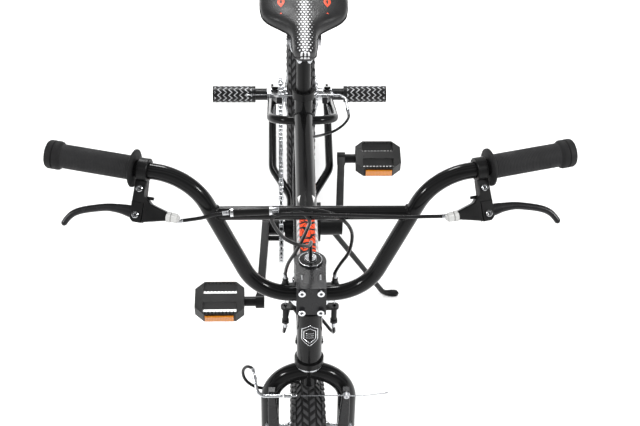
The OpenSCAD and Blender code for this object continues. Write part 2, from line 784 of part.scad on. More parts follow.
tooth_gap_r = 4.9;
module sprocket_outline(teeth, pitch_r) {
    difference() {
        circle(r = pitch_r + 2.6);
        for (k = [0:teeth - 1]) rotate(k * 360 / teeth) translate([pitch_r, 0])
            circle(r = tooth_gap_r);
    }
}
ring_mid_index = round((2 * run_length + wheel_wrap + ring_wrap / 2) / (chain_length / chain_links));
wheel_mid_index = round((run_length + wheel_wrap / 2) / (chain_length / chain_links));
module chainring() color(black) at_bb() translate([0, -chain_line, 0]) difference() {
    plate_across(-1.4, 1.4)
        rotate(chain_angle(ring_mid_index * chain_length / chain_links))
        sprocket_outline(chainring_teeth, ring_pitch_r);
    across(-5, 5, crank_spindle_r + seat_gap);
    translate([drive_pin_x, 0, 0]) across(-5, 5, drive_pin_r + seat_gap);
    for (k = [0:4]) rotate([0, 36 + 72 * k, 0]) translate([43, 0, 0]) across(-5, 5, 11);
}
module freewheel() color(silver) translate(rear_centre) difference() {
    union() {
        translate([0, -chain_line, 0]) plate_across(-1.4, 1.4)
            rotate(wheel_angle(wheel_mid_index * chain_length / chain_links))
            sprocket_outline(freewheel_teeth, wheel_pitch_r);
        across(-chain_line - 5, -chain_line + 7, 27);
    }
    across(-rear_hub_width, 0, carrier_r + run_clear);
}

// Crank, one piece through the bottom bracket: right arm forward, left arm back
drive_pin_x = 27;
drive_pin_r = 5;
arm_thickness = 14;
arm_lean = 3.4;
module crank_arm() {
    difference() {
        union() {
            translate([0, arm_inner_y, 0]) rotate([0, 0, arm_lean])
                plate_across(0, arm_thickness) {
                polygon([[0, -15], [crank_length, -11.5], [crank_length, 11.5], [0, 15]]);
                circle(r = 15);
            }
            translate([crank_length, 0, 0])
                across(arm_inner_y + 9, arm_inner_y + 25, 13);
        }
        translate([crank_length, 0, 0])
            across(arm_inner_y, arm_inner_y + 40, pedal_spindle_dia / 2 + seat_gap);
    }
}
module crank() color(black) at_bb() union() {
    across(-arm_inner_y - 8, arm_inner_y + 8, crank_spindle_r);
    across(-arm_inner_y - 2, -chain_line - 1.4 - seat_gap, 16);
    across(bb_shell_width / 2 + face_gap, arm_inner_y + 2, 16);
    translate([drive_pin_x, 0, 0]) across(-arm_inner_y - 6, -chain_line + 2, drive_pin_r);
    mirror([0, 1, 0]) crank_arm();
    mirror([1, 0, 0]) crank_arm();
}
spindle_start = arm_inner_y + 9;
spindle_end = pedal_y + 36;
module pedal_spindle() {
    union() {
        across(spindle_start, spindle_end, pedal_spindle_dia / 2);
        across(arm_inner_y + 25 + seat_gap, pedal_y - 45 - face_gap, pedal_spindle_dia / 2 + 3);
    }
}
module pedal_spindles() color(dark) at_bb() {
    translate([crank_length, 0, 0]) mirror([0, 1, 0]) pedal_spindle();
    translate([-crank_length, 0, 0]) pedal_spindle();
}

// Pedals, drawn on the left and centred on their spindle
pedal_width = 90;
pedal_half_length = 35.5;
pedal_height = 24;
module pedal_body() color(black) translate([0, pedal_y, 0]) difference() {
    union() {
        difference() {
            translate([0, 0, -pedal_height / 2]) linear_extrude(pedal_height)
                polygon([
                    [-pedal_half_length, -30], [-22, -pedal_width / 2],
                    [22, -pedal_width / 2], [pedal_half_length, -30],
                    [pedal_half_length, 28], [20, pedal_width / 2],
                    [-20, pedal_width / 2], [-pedal_half_length, 28]
                ]);
            for (x = [-30.5, 9.5]) translate([x, -31, -20]) cube([21, 61, 40]);
        }
        across(-pedal_width / 2, pedal_width / 2, 9.5);
    }
    across(-pedal_width, spindle_end - pedal_y + 1, pedal_spindle_dia / 2 + run_clear);
}
module pedal_reflectors() color(amber) translate([0, pedal_y, 0])
    for (x = [pedal_half_length + seat_gap, -pedal_half_length - seat_gap - 3.5])
    translate([x, -26, -7]) cube([3.5, 52, 14]);
module right_pedal_place() { translate(bb + [crank_length, 0, 0]) mirror([0, 1, 0]) children(); }
module left_pedal_place() { translate(bb - [crank_length, 0, 0]) children(); }
module pedal_right() right_pedal_place() pedal_body();
module pedal_left() left_pedal_place() pedal_body();
module reflectors_right() right_pedal_place() pedal_reflectors();
module reflectors_left() left_pedal_place() pedal_reflectors();

// Fork
module brake_boss(root) {
    translate([root, boss_y, boss_radius]) rotate([0, 90, 0])
        cylinder(h = arm_plane - 8 - root - face_gap, r = 7);
    translate([root, boss_y, boss_radius]) rotate([0, 90, 0])
        cylinder(h = arm_plane + 14 - root, r = boss_dia / 2);
    translate([arm_plane + 9, boss_y, boss_radius]) rotate([0, 90, 0])
        cylinder(h = 5, r = 6.5);
}
module fork_dropout() {
    translate([0, front_hub_width / 2 + dropout_thickness, 0]) rotate([90, 0, 0])
        linear_extrude(dropout_thickness) difference() {
        union() {
            translate([fork_offset, 0]) circle(r = 15);
            polygon([[-11, 8], [fork_offset - 6, -14], [fork_offset + 8, 12.5], [11, 46], [-11, 46]]);
        }
        translate([fork_offset, 0]) circle(r = front_axle_dia / 2 + seat_gap);
    }
}
module fork() color(black) steer() difference() {
    union() {
        square_tube_bends([
            [0, leg_y, 22], [0, leg_y, arch_height],
            [0, -leg_y, arch_height], [0, -leg_y, 22]
        ], leg_y - 1, leg_r, 2.2);
        both_sides() fork_dropout();
        both_sides() brake_boss(9);
    }
    translate([0, 0, arch_height - 60]) cylinder(h = 120, r = steerer_r + seat_gap);
}
module steerer() color(black) steer() difference() {
    translate([0, 0, steerer_bottom]) cylinder(h = steerer_top - steerer_bottom, r = steerer_r);
    translate([0, 0, steerer_bottom - 1]) cylinder(h = 400, r = steerer_bore);
}
module headset_races() color(silver) steer() {
    difference() {
        translate([0, 0, race_bottom])
            cylinder(h = cup_bottom - face_gap - race_bottom, r = cup_dia / 2 - 2);
        translate([0, 0, race_bottom - 1]) cylinder(h = 20, r = steerer_r + seat_gap);
    }
    difference() {
        translate([0, 0, cup_top + face_gap])
            cylinder(h = upper_plate_height - cup_top - face_gap - seat_gap, r = 18);
        translate([0, 0, cup_top]) cylinder(h = 40, r = steerer_r + seat_gap);
    }
}

// Brake-cable rotor: a plate above and below, and two rings that slide between them
module rotor_outline(inner, outer, ear_r, hole_r) {
    difference() {
        union() {
            circle(r = outer);
            for (side = [1, -1]) translate([0, side * rotor_ear_y]) circle(r = ear_r);
            translate([-ear_r * 0.9, -rotor_ear_y]) square([ear_r * 1.8, 2 * rotor_ear_y]);
        }
        circle(r = inner);
        if (hole_r > 0) for (side = [1, -1])
            translate([0, side * rotor_ear_y]) circle(r = hole_r);
    }
}
module cable_adjuster(height) {
    difference() {
        union() {
            cylinder(h = height, r = 4.2);
            cylinder(h = 5, r = 6, $fn = 6);
        }
        translate([0, 0, -1]) cylinder(h = height + 2, r = cable_dia / 2 + seat_gap);
    }
}
module rotor_upper_plate() color(black) steer() translate([0, 0, upper_plate_height]) union() {
    linear_extrude(upper_plate_thickness)
        rotor_outline(steerer_r + seat_gap, 24, 7, cable_dia / 2 + seat_gap);
    both_sides() translate([0, rotor_ear_y, upper_plate_thickness])
        cable_adjuster(adjuster_height);
}
module rotor_lower_plate() color(black) difference() {
    steer() translate([0, 0, lower_plate_height]) union() {
        linear_extrude(4) rotor_outline(head_tube_r + seat_gap, 25, 7, cable_dia / 2 + seat_gap);
        both_sides() translate([0, rotor_ear_y, -lower_adjuster_height])
            cable_adjuster(lower_adjuster_height);
    }
    rod(top_tube_front, top_tube_back, top_tube_dia / 2 + seat_gap);
}
module rotor_lower() color(silver) steer() {
    translate([0, 0, rotor_lower_height]) linear_extrude(rotor_ring_thickness)
        rotor_outline(rotor_ring_in, rotor_ring_out, 5, 0);
    both_sides() translate([0, rotor_ear_y, lower_plate_height - 10])
        cylinder(h = rotor_lower_height - lower_plate_height + 10 - seat_gap, r = 0.9);
}
module rotor_upper() color(silver) steer() {
    translate([0, 0, rotor_upper_height]) linear_extrude(rotor_ring_thickness)
        rotor_outline(rotor_ring_in, rotor_ring_out, 5, 0);
    both_sides() translate([0, rotor_ear_y, rotor_upper_height + rotor_ring_thickness + seat_gap])
        cylinder(h = upper_plate_height - rotor_upper_height - rotor_ring_thickness + 6, r = 0.9);
}

// Stem and handlebar
clamp_half = 24;
module stem() color(black) steer() difference() {
    union() {
        translate([0, 0, stem_bottom]) cylinder(h = stem_height, r = stem_width / 2 + 2);
        translate([0, -stem_width / 2, stem_bottom])
            cube([stem_reach - 0.5, stem_width, stem_height]);
    }
    translate([0, 0, stem_bottom - 1]) cylinder(h = stem_height + 2, r = steerer_r + seat_gap);
    translate([stem_reach, -40, bar_height]) across(0, 80, bar_r + seat_gap);
    bolt_holes();
}
bolt_y = 13.3;
bolt_half_height = 17.5;
bolt_r = 3;
module bolt_holes() {
    for (y = [bolt_y, -bolt_y], z = [bolt_half_height, -bolt_half_height])
        translate([stem_reach - 18, y, bar_height + z]) rotate([0, 90, 0])
        cylinder(h = 60, r = bolt_r + seat_gap);
}
face_depth = 19;
module stem_faceplate() color(black) steer() difference() {
    translate([stem_reach + 0.5, -stem_width / 2, bar_height - clamp_half])
        cube([face_depth, stem_width, 2 * clamp_half]);
    translate([stem_reach, -40, bar_height]) across(0, 80, bar_r + seat_gap);
    bolt_holes();
}
module stem_bolts() color(silver) steer()
    for (y = [bolt_y, -bolt_y], z = [bolt_half_height, -bolt_half_height])
    translate([stem_reach - 16, y, bar_height + z]) rotate([0, 90, 0]) difference() {
    union() {
        cylinder(h = 16 + face_depth + 0.5, r = bolt_r);
        translate([0, 0, 16 + face_depth + 0.5 + seat_gap]) cylinder(h = 4.5, r = 5);
        cylinder(h = 18 + face_depth, r = bolt_r);
    }
    translate([0, 0, 18 + face_depth]) cylinder(h = 10, r = 2.6, $fn = 6);
}
module stem_cap() color(silver) steer() difference() {
    union() {
        translate([0, 0, stem_top + seat_gap]) cylinder(h = 3.4, r = 17);
        translate([0, 0, stem_top + seat_gap]) cylinder(h = 7, r = 8.5);
        translate([0, 0, steerer_top - 25]) cylinder(h = 30, r = steerer_bore - seat_gap);
    }
    translate([0, 0, steerer_top - 40]) cylinder(h = 70, r = cable_dia / 2 + 0.9);
}

module handlebar() color(black) {
    sweep_tube(rounded([
        grip_outer - 4 * grip_way, bar_plane_point,
        on_steer(stem_reach, bar_half_bottom, bar_height),
        on_steer(stem_reach, -bar_half_bottom, bar_height),
        on_steer(stem_reach, -bar_half_top, bar_height + bar_rise),
        flip(grip_outer - 4 * grip_way)
    ], 72, 6), bar_r, 2, 24);
    difference() {
        rod(on_steer(stem_reach, -crossbar_half, bar_height + crossbar_rise),
            on_steer(stem_reach, crossbar_half, bar_height + crossbar_rise), crossbar_dia / 2);
        both_sides() rod(on_steer(stem_reach, bar_half_bottom, bar_height),
            on_steer(stem_reach, bar_half_top, bar_height + bar_rise), bar_r + seat_gap);
    }
}
function flip(p) = [p[0], -p[1], p[2]];
crossbar_half = bar_half_bottom + (bar_half_top - bar_half_bottom) * crossbar_rise / bar_rise;

module grips() color(rubber) both_sides() along(grip_inner, grip_outer) difference() {
    union() {
        cylinder(h = grip_length, r = grip_dia / 2);
        cylinder(h = 4, r = grip_dia / 2 + 4.5);
    }
    translate([0, 0, -1]) cylinder(h = grip_length - 2, r = bar_r + seat_gap);
}

// Brake levers, drawn on the left in their own plane
module lever_bracket() lever_frame() difference() {
    union() {
        rotate([0, 90, 0]) translate([0, 0, -7]) cylinder(h = 14, r = bar_r + 5);
        translate([-7, 12, -6]) cube([14, 20, 12]);
        translate([0, 0, -6]) linear_extrude(12) polygon([
            [-7, 28], [7, 28], [7, 46], [1, 50.5], [-7, 51], [-10, 50.5], [-27, 62], [-27, 49], [-9, 42]
        ]);
        for (z = [-6.5, 4.5]) translate([0, 0, z]) linear_extrude(2) union() {
            translate(lever_pivot) circle(r = 6);
            polygon([[-9, 44], [6, 40], [6, 60], [-5, 62]]);
        }
    }
    rotate([0, 90, 0]) translate([0, 0, -8]) cylinder(h = 16, r = bar_r + seat_gap);
    translate([lever_pivot[0], lever_pivot[1], -8]) cylinder(h = 16, r = lever_pin_r + seat_gap);
    translate([-40, 56, 0]) rotate([0, 90, 0]) cylinder(h = 60, r = 1.6);
}
module lever_pin() lever_frame() translate([lever_pivot[0], lever_pivot[1], -7.5])
    cylinder(h = 15, r = lever_pin_r);
module lever_brackets() color(black) both_sides() {
    lever_bracket();
    lever_pin();
}
module cable_adjusters() color(white) both_sides() lever_frame() {
    translate([-27 - seat_gap, 56, 0]) rotate([0, -90, 0]) difference() {
        union() {
            cylinder(h = 25, r = 4.6);
            cylinder(h = 9, r = 6.8);
            translate([0, 0, 12]) cylinder(h = 8, r = 6);
        }
        translate([0, 0, -1]) cylinder(h = 30, r = 1.6);
        translate([0, 0, 15]) cylinder(h = 30, r = cable_dia / 2 + seat_gap);
    }
}
module lever_blade() color(black) lever_frame() translate([0, 0, -4]) difference() {
    linear_extrude(8) union() {
        translate(lever_pivot) circle(r = 7);
        polygon([
            [-5, 56], [4, 53.5], [14, 51.5], [34, 51], [64, 57.5], [84, 65], [96, 75], [103, 90],
            [98, 93], [89, 81], [78, 73], [62, 67.5], [34, 61], [15, 62.5], [9, 68], [3, 71], [-5, 66]
        ]);
    }
    translate([lever_pivot[0], lever_pivot[1], -1]) cylinder(h = 10, r = lever_pin_r + run_clear);
}
module lever_left() lever_blade();
module lever_right() mirror([0, 1, 0]) lever_blade();

// Linear-pull brake arms, drawn on the left; carrier_f is the axle's place ahead of the leg
module brake_arm(top_y, axle_f) {
    pad_height = sqrt(pow(pad_radius, 2) - pow(arm_plane - axle_f, 2));
    post_end = boss_y + (top_y - boss_y) * (pad_height - boss_radius) / arm_length;
    difference() {
        union() {
            plate_ahead(arm_plane - 6, arm_plane + 6) union() {
                polygon([
                    [boss_y - 8, boss_radius], [boss_y + 8, boss_radius],
                    [top_y + 5, boss_radius + arm_length + 6],
                    [top_y - 5, boss_radius + arm_length + 6]
                ]);
            }
            translate([arm_plane - 8, boss_y, boss_radius]) rotate([0, 90, 0])
                cylinder(h = 16, r = 8.5);
        }
        translate([0, boss_y, boss_radius]) rotate([0, 90, 0])
            cylinder(h = 80, r = boss_dia / 2 + run_clear);
        translate([arm_plane, 0, pad_height]) across(0, 90, 3.1);
    }
    translate([arm_plane, 0, pad_height]) union() {
        across(rim_half + pad_gap + 8, post_end + 15, 3);
        across(post_end + 9, post_end + 13, 6);
        across(rim_half + pad_gap + 8, rim_half + pad_gap + 14, 6);
    }
    translate([arm_plane, rim_half + pad_gap, pad_height])
        rotate([0, atan2(arm_plane - axle_f, pad_height), 0]) difference() {
        translate([-pad_length / 2, 0, -pad_height_half])
            cube([pad_length, 9, 2 * pad_height_half]);
        translate([0, 5, 0]) across(0, 9, 6.1);
    }
}
pad_length = 54;
pad_height_half = 4.5;
front_top_y = 57;
rear_top_y = 43;
cable_height = boss_radius + arm_length;
module pinch_bolt(top_y) {
    translate([arm_plane + 6 + seat_gap, top_y, cable_height]) rotate([0, 90, 0])
        cylinder(h = 6, r = 5, $fn = 6);
}
module noodle(points) {
    sweep_tube(rounded(points, 15), 2.6, 1.2, 10);
}
module front_arm_left() color(black) steer() {
    brake_arm(front_top_y, fork_offset);
    pinch_bolt(front_top_y);
}
module front_arm_right() color(black) steer() {
    mirror([0, 1, 0]) brake_arm(front_top_y, fork_offset);
    noodle([[arm_plane + 6 + 3, -40, cable_height + 1], [arm_plane + 6 + 3, -78, cable_height + 1],
        [6, -84, cable_height + 18]]);
}
module rear_arm_right() color(black) stay_frame() {
    brake_arm(rear_top_y, 0);
    pinch_bolt(rear_top_y);
}
module rear_arm_left() color(black) stay_frame() {
    mirror([0, 1, 0]) brake_arm(rear_top_y, 0);
    noodle([[arm_plane + 9, -28, cable_height + 1], [arm_plane + 9, -82, cable_height + 1],
        [arm_plane - 16, -86, cable_height + 31]]);
}

// Cables
module front_cable() color(rubber) {
    sweep_cord(smooth(front_cable_route, 2), cable_dia / 2);
    steer() sweep_cord([for (p = front_wire_route) p + [9, 0, 0]], 0.8);
}
module rear_upper_cable() color(rubber) {
    sweep_cord(smooth(rear_single_route, 2), cable_dia / 2);
    rod([325, -110, 883], [325, -55, 886.5], 4.5);
    sweep_cord(smooth(rear_left_route, 3), cable_dia / 2);
    sweep_cord(smooth(rear_right_route, 3), cable_dia / 2);
}
module rear_lower_cable() color(rubber) {
    sweep_cord(smooth(lower_left_route, 2), cable_dia / 2);
    sweep_cord(smooth(lower_right_route, 2), cable_dia / 2);
    rod([248, -20, 604], [241, -20, 606], 6);
    sweep_cord(smooth(rear_lower_route, 2), cable_dia / 2);
    stay_frame() sweep_cord([for (p = rear_wire_route) p + [9, 0, 0]], 0.8);
}

// Kickstand and its bracket behind the bottom bracket
stand_pin_r = 5;
stand_hub_half = stand_dia / 2 + 0.2;
module kickstand_bracket() color(black) union() {
    translate([bb[0] - 70, -29, bb[2] - 26]) cube([34, 66, 12]);
    rod(stand_pivot - 22 * stand_axis, stand_pivot - (stand_hub_half + face_gap) * stand_axis, 9);
    rod(stand_pivot - 10 * stand_axis, stand_pivot + 9 * stand_axis, stand_pin_r);
}
module kickstand() color(black) difference() {
    union() {
        rod(stand_pivot - stand_hub_half * stand_axis, stand_pivot + stand_hub_half * stand_axis, 10);
        sweep_cord(rounded([stand_pivot + 4 * stand_way, stand_foot, stand_toe], 20),
            stand_dia / 2, 14);
    }
    rod(stand_pivot - 20 * stand_axis, stand_pivot + 20 * stand_axis, stand_pin_r + run_clear);
}

head_tube();
top_tube();
down_tube();
seat_tube();
bottom_bracket_shell();
chain_stays();
seat_stays();
rear_dropouts();
headset_cups();
bottom_bracket_cups();
seat_clamp();
seat_post();
saddle_rails();
saddle();
rear_axle();
rear_pegs();
chain();
kickstand_bracket();
rotor_lower_plate();
rear_lower_cable();
fork();
steerer();
headset_races();
front_axle();
stem();
stem_faceplate();
stem_bolts();
stem_cap();
rotor_upper_plate();
handlebar();
grips();
lever_brackets();
cable_adjusters();
front_cable();
rear_upper_cable();
front_tyre();
front_rim();
front_spokes();
front_hub();
rear_tyre();
rear_rim();
rear_spokes();
rear_hub();
freewheel();
crank();
chainring();
pedal_spindles();
pedal_right();
pedal_left();
reflectors_right();
reflectors_left();
lever_left();
lever_right();
front_arm_left();
front_arm_right();
rear_arm_left();
rear_arm_right();
kickstand();
rotor_upper();
rotor_lower();
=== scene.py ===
"""Looks of the freestyle BMX bicycle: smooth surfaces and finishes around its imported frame.

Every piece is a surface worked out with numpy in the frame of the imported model, in metres:
+X forward, +Y to the rider's left, +Z up, with the origin on the ground between the axles.
"""

import json
import logging
import math
from dataclasses import dataclass
from enum import Enum
from typing import Any, Sequence

import bpy
import numpy as np
from mathutils import Matrix
from numpy.typing import NDArray


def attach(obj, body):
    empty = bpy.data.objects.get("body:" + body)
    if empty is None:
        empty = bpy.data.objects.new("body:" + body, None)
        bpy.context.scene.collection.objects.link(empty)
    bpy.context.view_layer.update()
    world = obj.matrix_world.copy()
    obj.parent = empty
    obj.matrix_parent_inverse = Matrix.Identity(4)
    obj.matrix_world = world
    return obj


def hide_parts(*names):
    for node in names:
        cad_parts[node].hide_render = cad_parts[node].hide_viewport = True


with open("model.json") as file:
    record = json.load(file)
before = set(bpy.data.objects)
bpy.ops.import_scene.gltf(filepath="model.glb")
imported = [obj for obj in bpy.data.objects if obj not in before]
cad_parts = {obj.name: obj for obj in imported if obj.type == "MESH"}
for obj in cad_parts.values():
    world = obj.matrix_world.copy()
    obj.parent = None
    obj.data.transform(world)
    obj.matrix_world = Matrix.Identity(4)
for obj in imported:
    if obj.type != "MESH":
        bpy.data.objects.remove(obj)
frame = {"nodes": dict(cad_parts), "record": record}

log = logging.getLogger("bmx")
Array = NDArray[np.float64]
Colour = tuple[float, float, float]
Socket = bpy.types.NodeSocket
MM = 0.001


class Side(Enum):
    """The two sides of the bicycle, with the sign of their y."""

    LEFT = 1
    RIGHT = -1


class Flow(Enum):
    """How the surface of a grid closes."""

    TUBE = "around"
    RING = "around and along"
    SHEET = "open"


# ---------------------------------------------------------------- shapes


def unit(vectors: Array) -> Array:
    """Each vector divided by its own length.

    Args:
        vectors: one vector, or an array with vectors in its last axis.
    Returns:
        Vectors of length one, in the same shape.
    """
    vectors = np.asarray(vectors, float)
    return vectors / np.linalg.norm(vectors, axis=-1, keepdims=True)


def flip(points: Array) -> Array:
    """The points mirrored in the bicycle's middle plane."""
    return np.asarray(points, float) * [1, -1, 1]


def smooth(points: Sequence[Sequence[float]], steps: int = 8) -> Array:
    """A curve through points, where each stretch is a cubic with the slope of its neighbours' chord.

    Args:
        points: the points that the curve passes.
        steps: how many points each stretch gets.
    Returns:
        An array of points along the curve.
    """
    p = np.asarray(points, float)
    a, b, c, d = np.vstack([p[:1], p[:-2]]), p[:-1], p[1:], np.vstack([p[2:], p[-1:]])
    t = (np.arange(steps) / steps)[None, :, None]
    a, b, c, d = (x[:, None, :] for x in (a, b, c, d))
    curve = 0.5 * (2 * b + (c - a) * t + (2 * a - 5 * b + 4 * c - d) * t**2
                   + (3 * b - a - 3 * c + d) * t**3)
    return np.vstack([curve.reshape(-1, 3), p[-1:]])


def rounded(points: Sequence[Sequence[float]], bend: float, steps: int = 12) -> Array:
    """A path of straight stretches whose corners are arcs of radius bend.

    Args:
        points: the corners.
        bend: the radius of each arc.
        steps: how many stretches each arc has.
    Returns:
        An array of points along the path.
    """
    p = np.asarray(points, float)
    ways = unit(np.diff(p, axis=0))
    path = [p[:1]]
    for corner, before, after in zip(p[1:-1], ways[:-1], ways[1:]):
        turn = math.acos(float(before @ after))
        inward = unit(after - before * (before @ after))
        angle = np.linspace(0, turn, steps + 1)[:, None]
        start = corner - bend * math.tan(turn / 2) * before
        path.append(start + bend * (1 - np.cos(angle)) * inward + bend * np.sin(angle) * before)
    return np.vstack([*path, p[-1:]])


def evenly(path: Array, gap: float) -> Array:
    """The same path with its points about one gap apart, by linear steps of its length."""
    far = np.concatenate([[0.0], np.cumsum(np.linalg.norm(np.diff(path, axis=0), axis=1))])
    at = np.linspace(0, far[-1], max(3, int(far[-1] / gap) + 1))
    return np.stack([np.interp(at, far, path[:, k]) for k in range(3)], axis=1)


def swept(path: Array, radius: Any, sides: int = 32, up: Sequence[float] = (0, 0, 1),
          flat: Any = 1.0, closed: bool = False) -> Array:
    """A round or oval section carried along a path.

    At each point the section's first axis is square to the path and to `up`, the second is square
    to both, and a point of the section is cosine times the first plus sine times the second.

    Args:
        path: points along the middle line.
        radius: the section's radius, one for all or one for each point.
        sides: points around the section.
        up: a direction that the path never runs along.
        flat: the second axis as a share of the radius, one for all or one for each point.
        closed: whether the path's end meets its start.
    Returns:
        A grid of points, along the path and around it.
    """
    if closed:
        ways = unit(np.roll(path, -1, axis=0) - np.roll(path, 1, axis=0))
    else:
        ways = unit(np.gradient(path, axis=0))
    first = unit(np.cross(ways, np.asarray(up, float)))
    second = np.cross(ways, first)
    turn = np.linspace(0, 2 * np.pi, sides, endpoint=False)
    r = np.broadcast_to(np.asarray(radius, float), (len(path),))[:, None, None]
    k = np.broadcast_to(np.asarray(flat, float), (len(path),))[:, None, None]
    return (path[:, None, :] + r * np.cos(turn)[None, :, None] * first[:, None, :]
            + r * k * np.sin(turn)[None, :, None] * second[:, None, :])


def turned(origin: Sequence[float], axis: Sequence[float], outline: Sequence[Sequence[float]],
           sides: int = 48) -> Array:
    """A surface of revolution: each (height, radius) pair goes once round the axis.

    Args:
        origin: where height is nothing.
        axis: the direction of growing height.
        outline: pairs of height along the axis and radius from it.
        sides: points around the axis.
    Returns:
        A grid of points, along the outline and around the axis.
    """
    way = unit(np.asarray(axis, float))
    first = unit(np.cross(way, [0.9, 0.1, 0.3] if abs(way[0]) < 0.9 else [0.1, 0.9, 0.3]))
    second = np.cross(way, first)
    pairs = np.asarray(outline, float)
    turn = np.linspace(0, 2 * np.pi, sides, endpoint=False)
    ring = np.cos(turn)[:, None] * first + np.sin(turn)[:, None] * second
    return (np.asarray(origin, float) + pairs[:, 0][:, None, None] * way
            + pairs[:, 1][:, None, None] * ring[None])


def plate(outline: Array, low: float, high: float, soft: float, axes: Array, origin: Array) -> Array:
    """A flat plate with softened edges, as four rings of the same outline.

    The middle two rings are the outline, and the outer two are drawn in by `soft` along the
    outline's own sideways direction, half the turn of the two edges that meet at each point.

    Args:
        outline: points in the plane, turning left.
        low: height of the lower face.
        high: height of the upper face.
        soft: how far the edges are drawn in.
        axes: three rows, the plane's two directions and its upward one.
        origin: the place of the plane's zero point.
    Returns:
        A grid of four rings.
    """
    p = np.asarray(outline, float)
    along = unit(np.roll(p, -1, axis=0) - p) + unit(p - np.roll(p, 1, axis=0))
    out = unit(np.stack([along[:, 1], -along[:, 0]], axis=1))
    rings = [(p - soft * out, low), (p, low + soft), (p, high - soft), (p - soft * out, high)]
    flat = np.stack([np.column_stack([ring, np.full(len(p), h)]) for ring, h in rings])
    return flat @ np.asarray(axes, float) + np.asarray(origin, float)


def seam(onto: tuple[Array, Array, float], tube: tuple[Array, Array, float], count: int = 96) -> Array:
    """The closed line where one round tube runs into another.

    Each straight line of the tube's surface is followed to where its distance from the other
    tube's axis equals that tube's radius, which is the larger root of a square equation.

    Args:
        onto: a point on the axis, the direction and the radius of the tube that is joined.
        tube: the same for the tube that runs into it, its direction pointing away from the joint.
        count: points around the line.
    Returns:
        An array of points, in order around the tube.
    """
    a, da, ra = onto
    b, db, rb = tube
    da, db = unit(da), unit(db)
    first = unit(np.cross(db, da))
    second = np.cross(db, first)
    turn = np.linspace(0, 2 * np.pi, count, endpoint=False)[:, None]
    start = b + rb * (np.cos(turn) * first + np.sin(turn) * second) - a
    flat = start - (start @ da)[:, None] * da
    run = db - (db @ da) * da
    p, q, r = run @ run, flat @ run, (flat * flat).sum(axis=1) - ra**2
    far = (-q + np.sqrt(np.maximum(q * q - p * r, 0))) / p
    return a + start + far[:, None] * db


# ---------------------------------------------------------------- pieces


class Piece:
    """A mesh that is put together from grids and then rides on a body."""

    def __init__(self, name: str) -> None:
        """Starts an empty piece with that name."""
        self.name = name
        self.points: list[Array] = []
        self.faces: list[list[int]] = []
        self.marks: list[Array] = []
        self.count = 0

    def grid(self, grid: Array, flow: Flow = Flow.TUBE, ends: bool = True,
             marks: Array | None = None) -> "Piece":
        """Adds a grid of points as a skin of four-sided faces.

        The face at row i and column j joins (i, j), (i, j+1), (i+1, j+1) and (i+1, j).

        Args:
            grid: points in rows along the piece and columns around it.
            flow: how the grid closes.
            ends: whether a tube's two ends get a face.
            marks: two numbers for each point, kept as its place on the surface.
        Returns:
            The piece itself.
        """
        rows, columns = grid.shape[:2]
        index = np.arange(rows * columns).reshape(rows, columns) + self.count
        below, above = (index, np.roll(index, -1, axis=0)) if flow is Flow.RING else (index[:-1], index[1:])
        if flow is Flow.SHEET:
            quads = np.stack([below[:, :-1], below[:, 1:], above[:, 1:], above[:, :-1]], axis=-1)
        else:
            quads = np.stack([below, np.roll(below, -1, 1), np.roll(above, -1, 1), above], axis=-1)
        self.faces += quads.reshape(-1, 4).tolist()
        if flow is Flow.TUBE and ends:
            self.faces += [index[0][::-1].tolist(), index[-1].tolist()]
        if marks is None:
            u, v = np.meshgrid(np.linspace(0, 1, columns), np.linspace(0, 1, rows))
            marks = np.stack([u, v], axis=-1)
        self.points.append(grid.reshape(-1, 3))
        self.marks.append(np.asarray(marks, float).reshape(-1, 2))
        self.count += rows * columns
        return self

    def blocks(self, corners: Array, faces: Sequence[Sequence[int]], top: int = 0) -> "Piece":
        """Adds many copies of one small shape.

        Args:
            corners: an array of copies, each with its corner points.
            faces: the shape's faces, as numbers of its corners.
            top: how many of the last corners are marked as the shape's top, where the tread finish paints
                sheen.
        Returns:
            The piece itself.
        """
        copies, each = corners.shape[:2]
        shift = (np.arange(copies) * each + self.count)[:, None, None]
        by_size: dict[int, list[Sequence[int]]] = {}
        for face in faces:
            by_size.setdefault(len(face), []).append(face)
        for group in by_size.values():
            numbers = np.asarray(group)[None] + shift
            self.faces += numbers.reshape(-1, numbers.shape[-1]).tolist()
        self.points.append(corners.reshape(-1, 3))
        marks = np.zeros((copies, each, 2))
        marks[:, each - top:, 1] = 1.0 if top else 0.0
        self.marks.append(marks.reshape(-1, 2))
        self.count += copies * each
        return self

    def make(self, finish: "Finish", body: str, slot: str, stands_for: Sequence[str] = (),
             crease: float = 35.0) -> bpy.types.Object:
        """Makes the object, dresses it and lets it ride.

        Args:
            finish: the finish that it wears.
            body: the body that it rides on.
            slot: the record's material slot; not used.
            stands_for: nodes that it is shown in place of.
            crease: edges that bend more than this many degrees stay sharp.
        Returns:
            The finished object.
        """
        mesh = bpy.data.meshes.new(self.name)
        mesh.from_pydata(np.vstack(self.points).tolist(), [], self.faces)
        mesh.validate()
        mesh.polygons.foreach_set("use_smooth", np.ones(len(mesh.polygons), bool))
        mesh.set_sharp_from_angle(angle=math.radians(crease))
        corner = np.zeros(len(mesh.loops), np.int32)
        mesh.loops.foreach_get("vertex_index", corner)
        layer = mesh.uv_layers.new(name="surface")
        layer.data.foreach_set("uv", np.vstack(self.marks)[corner].astype(np.float32).ravel())
        mesh.materials.append(finish.material())
        obj = bpy.data.objects.new(self.name, mesh)
        bpy.context.scene.collection.objects.link(obj)
        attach(obj, body)
        if stands_for:
            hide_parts(*stands_for)
        log.info("%s: %d points on %s", self.name, self.count, body)
        return obj


# ---------------------------------------------------------------- finishes


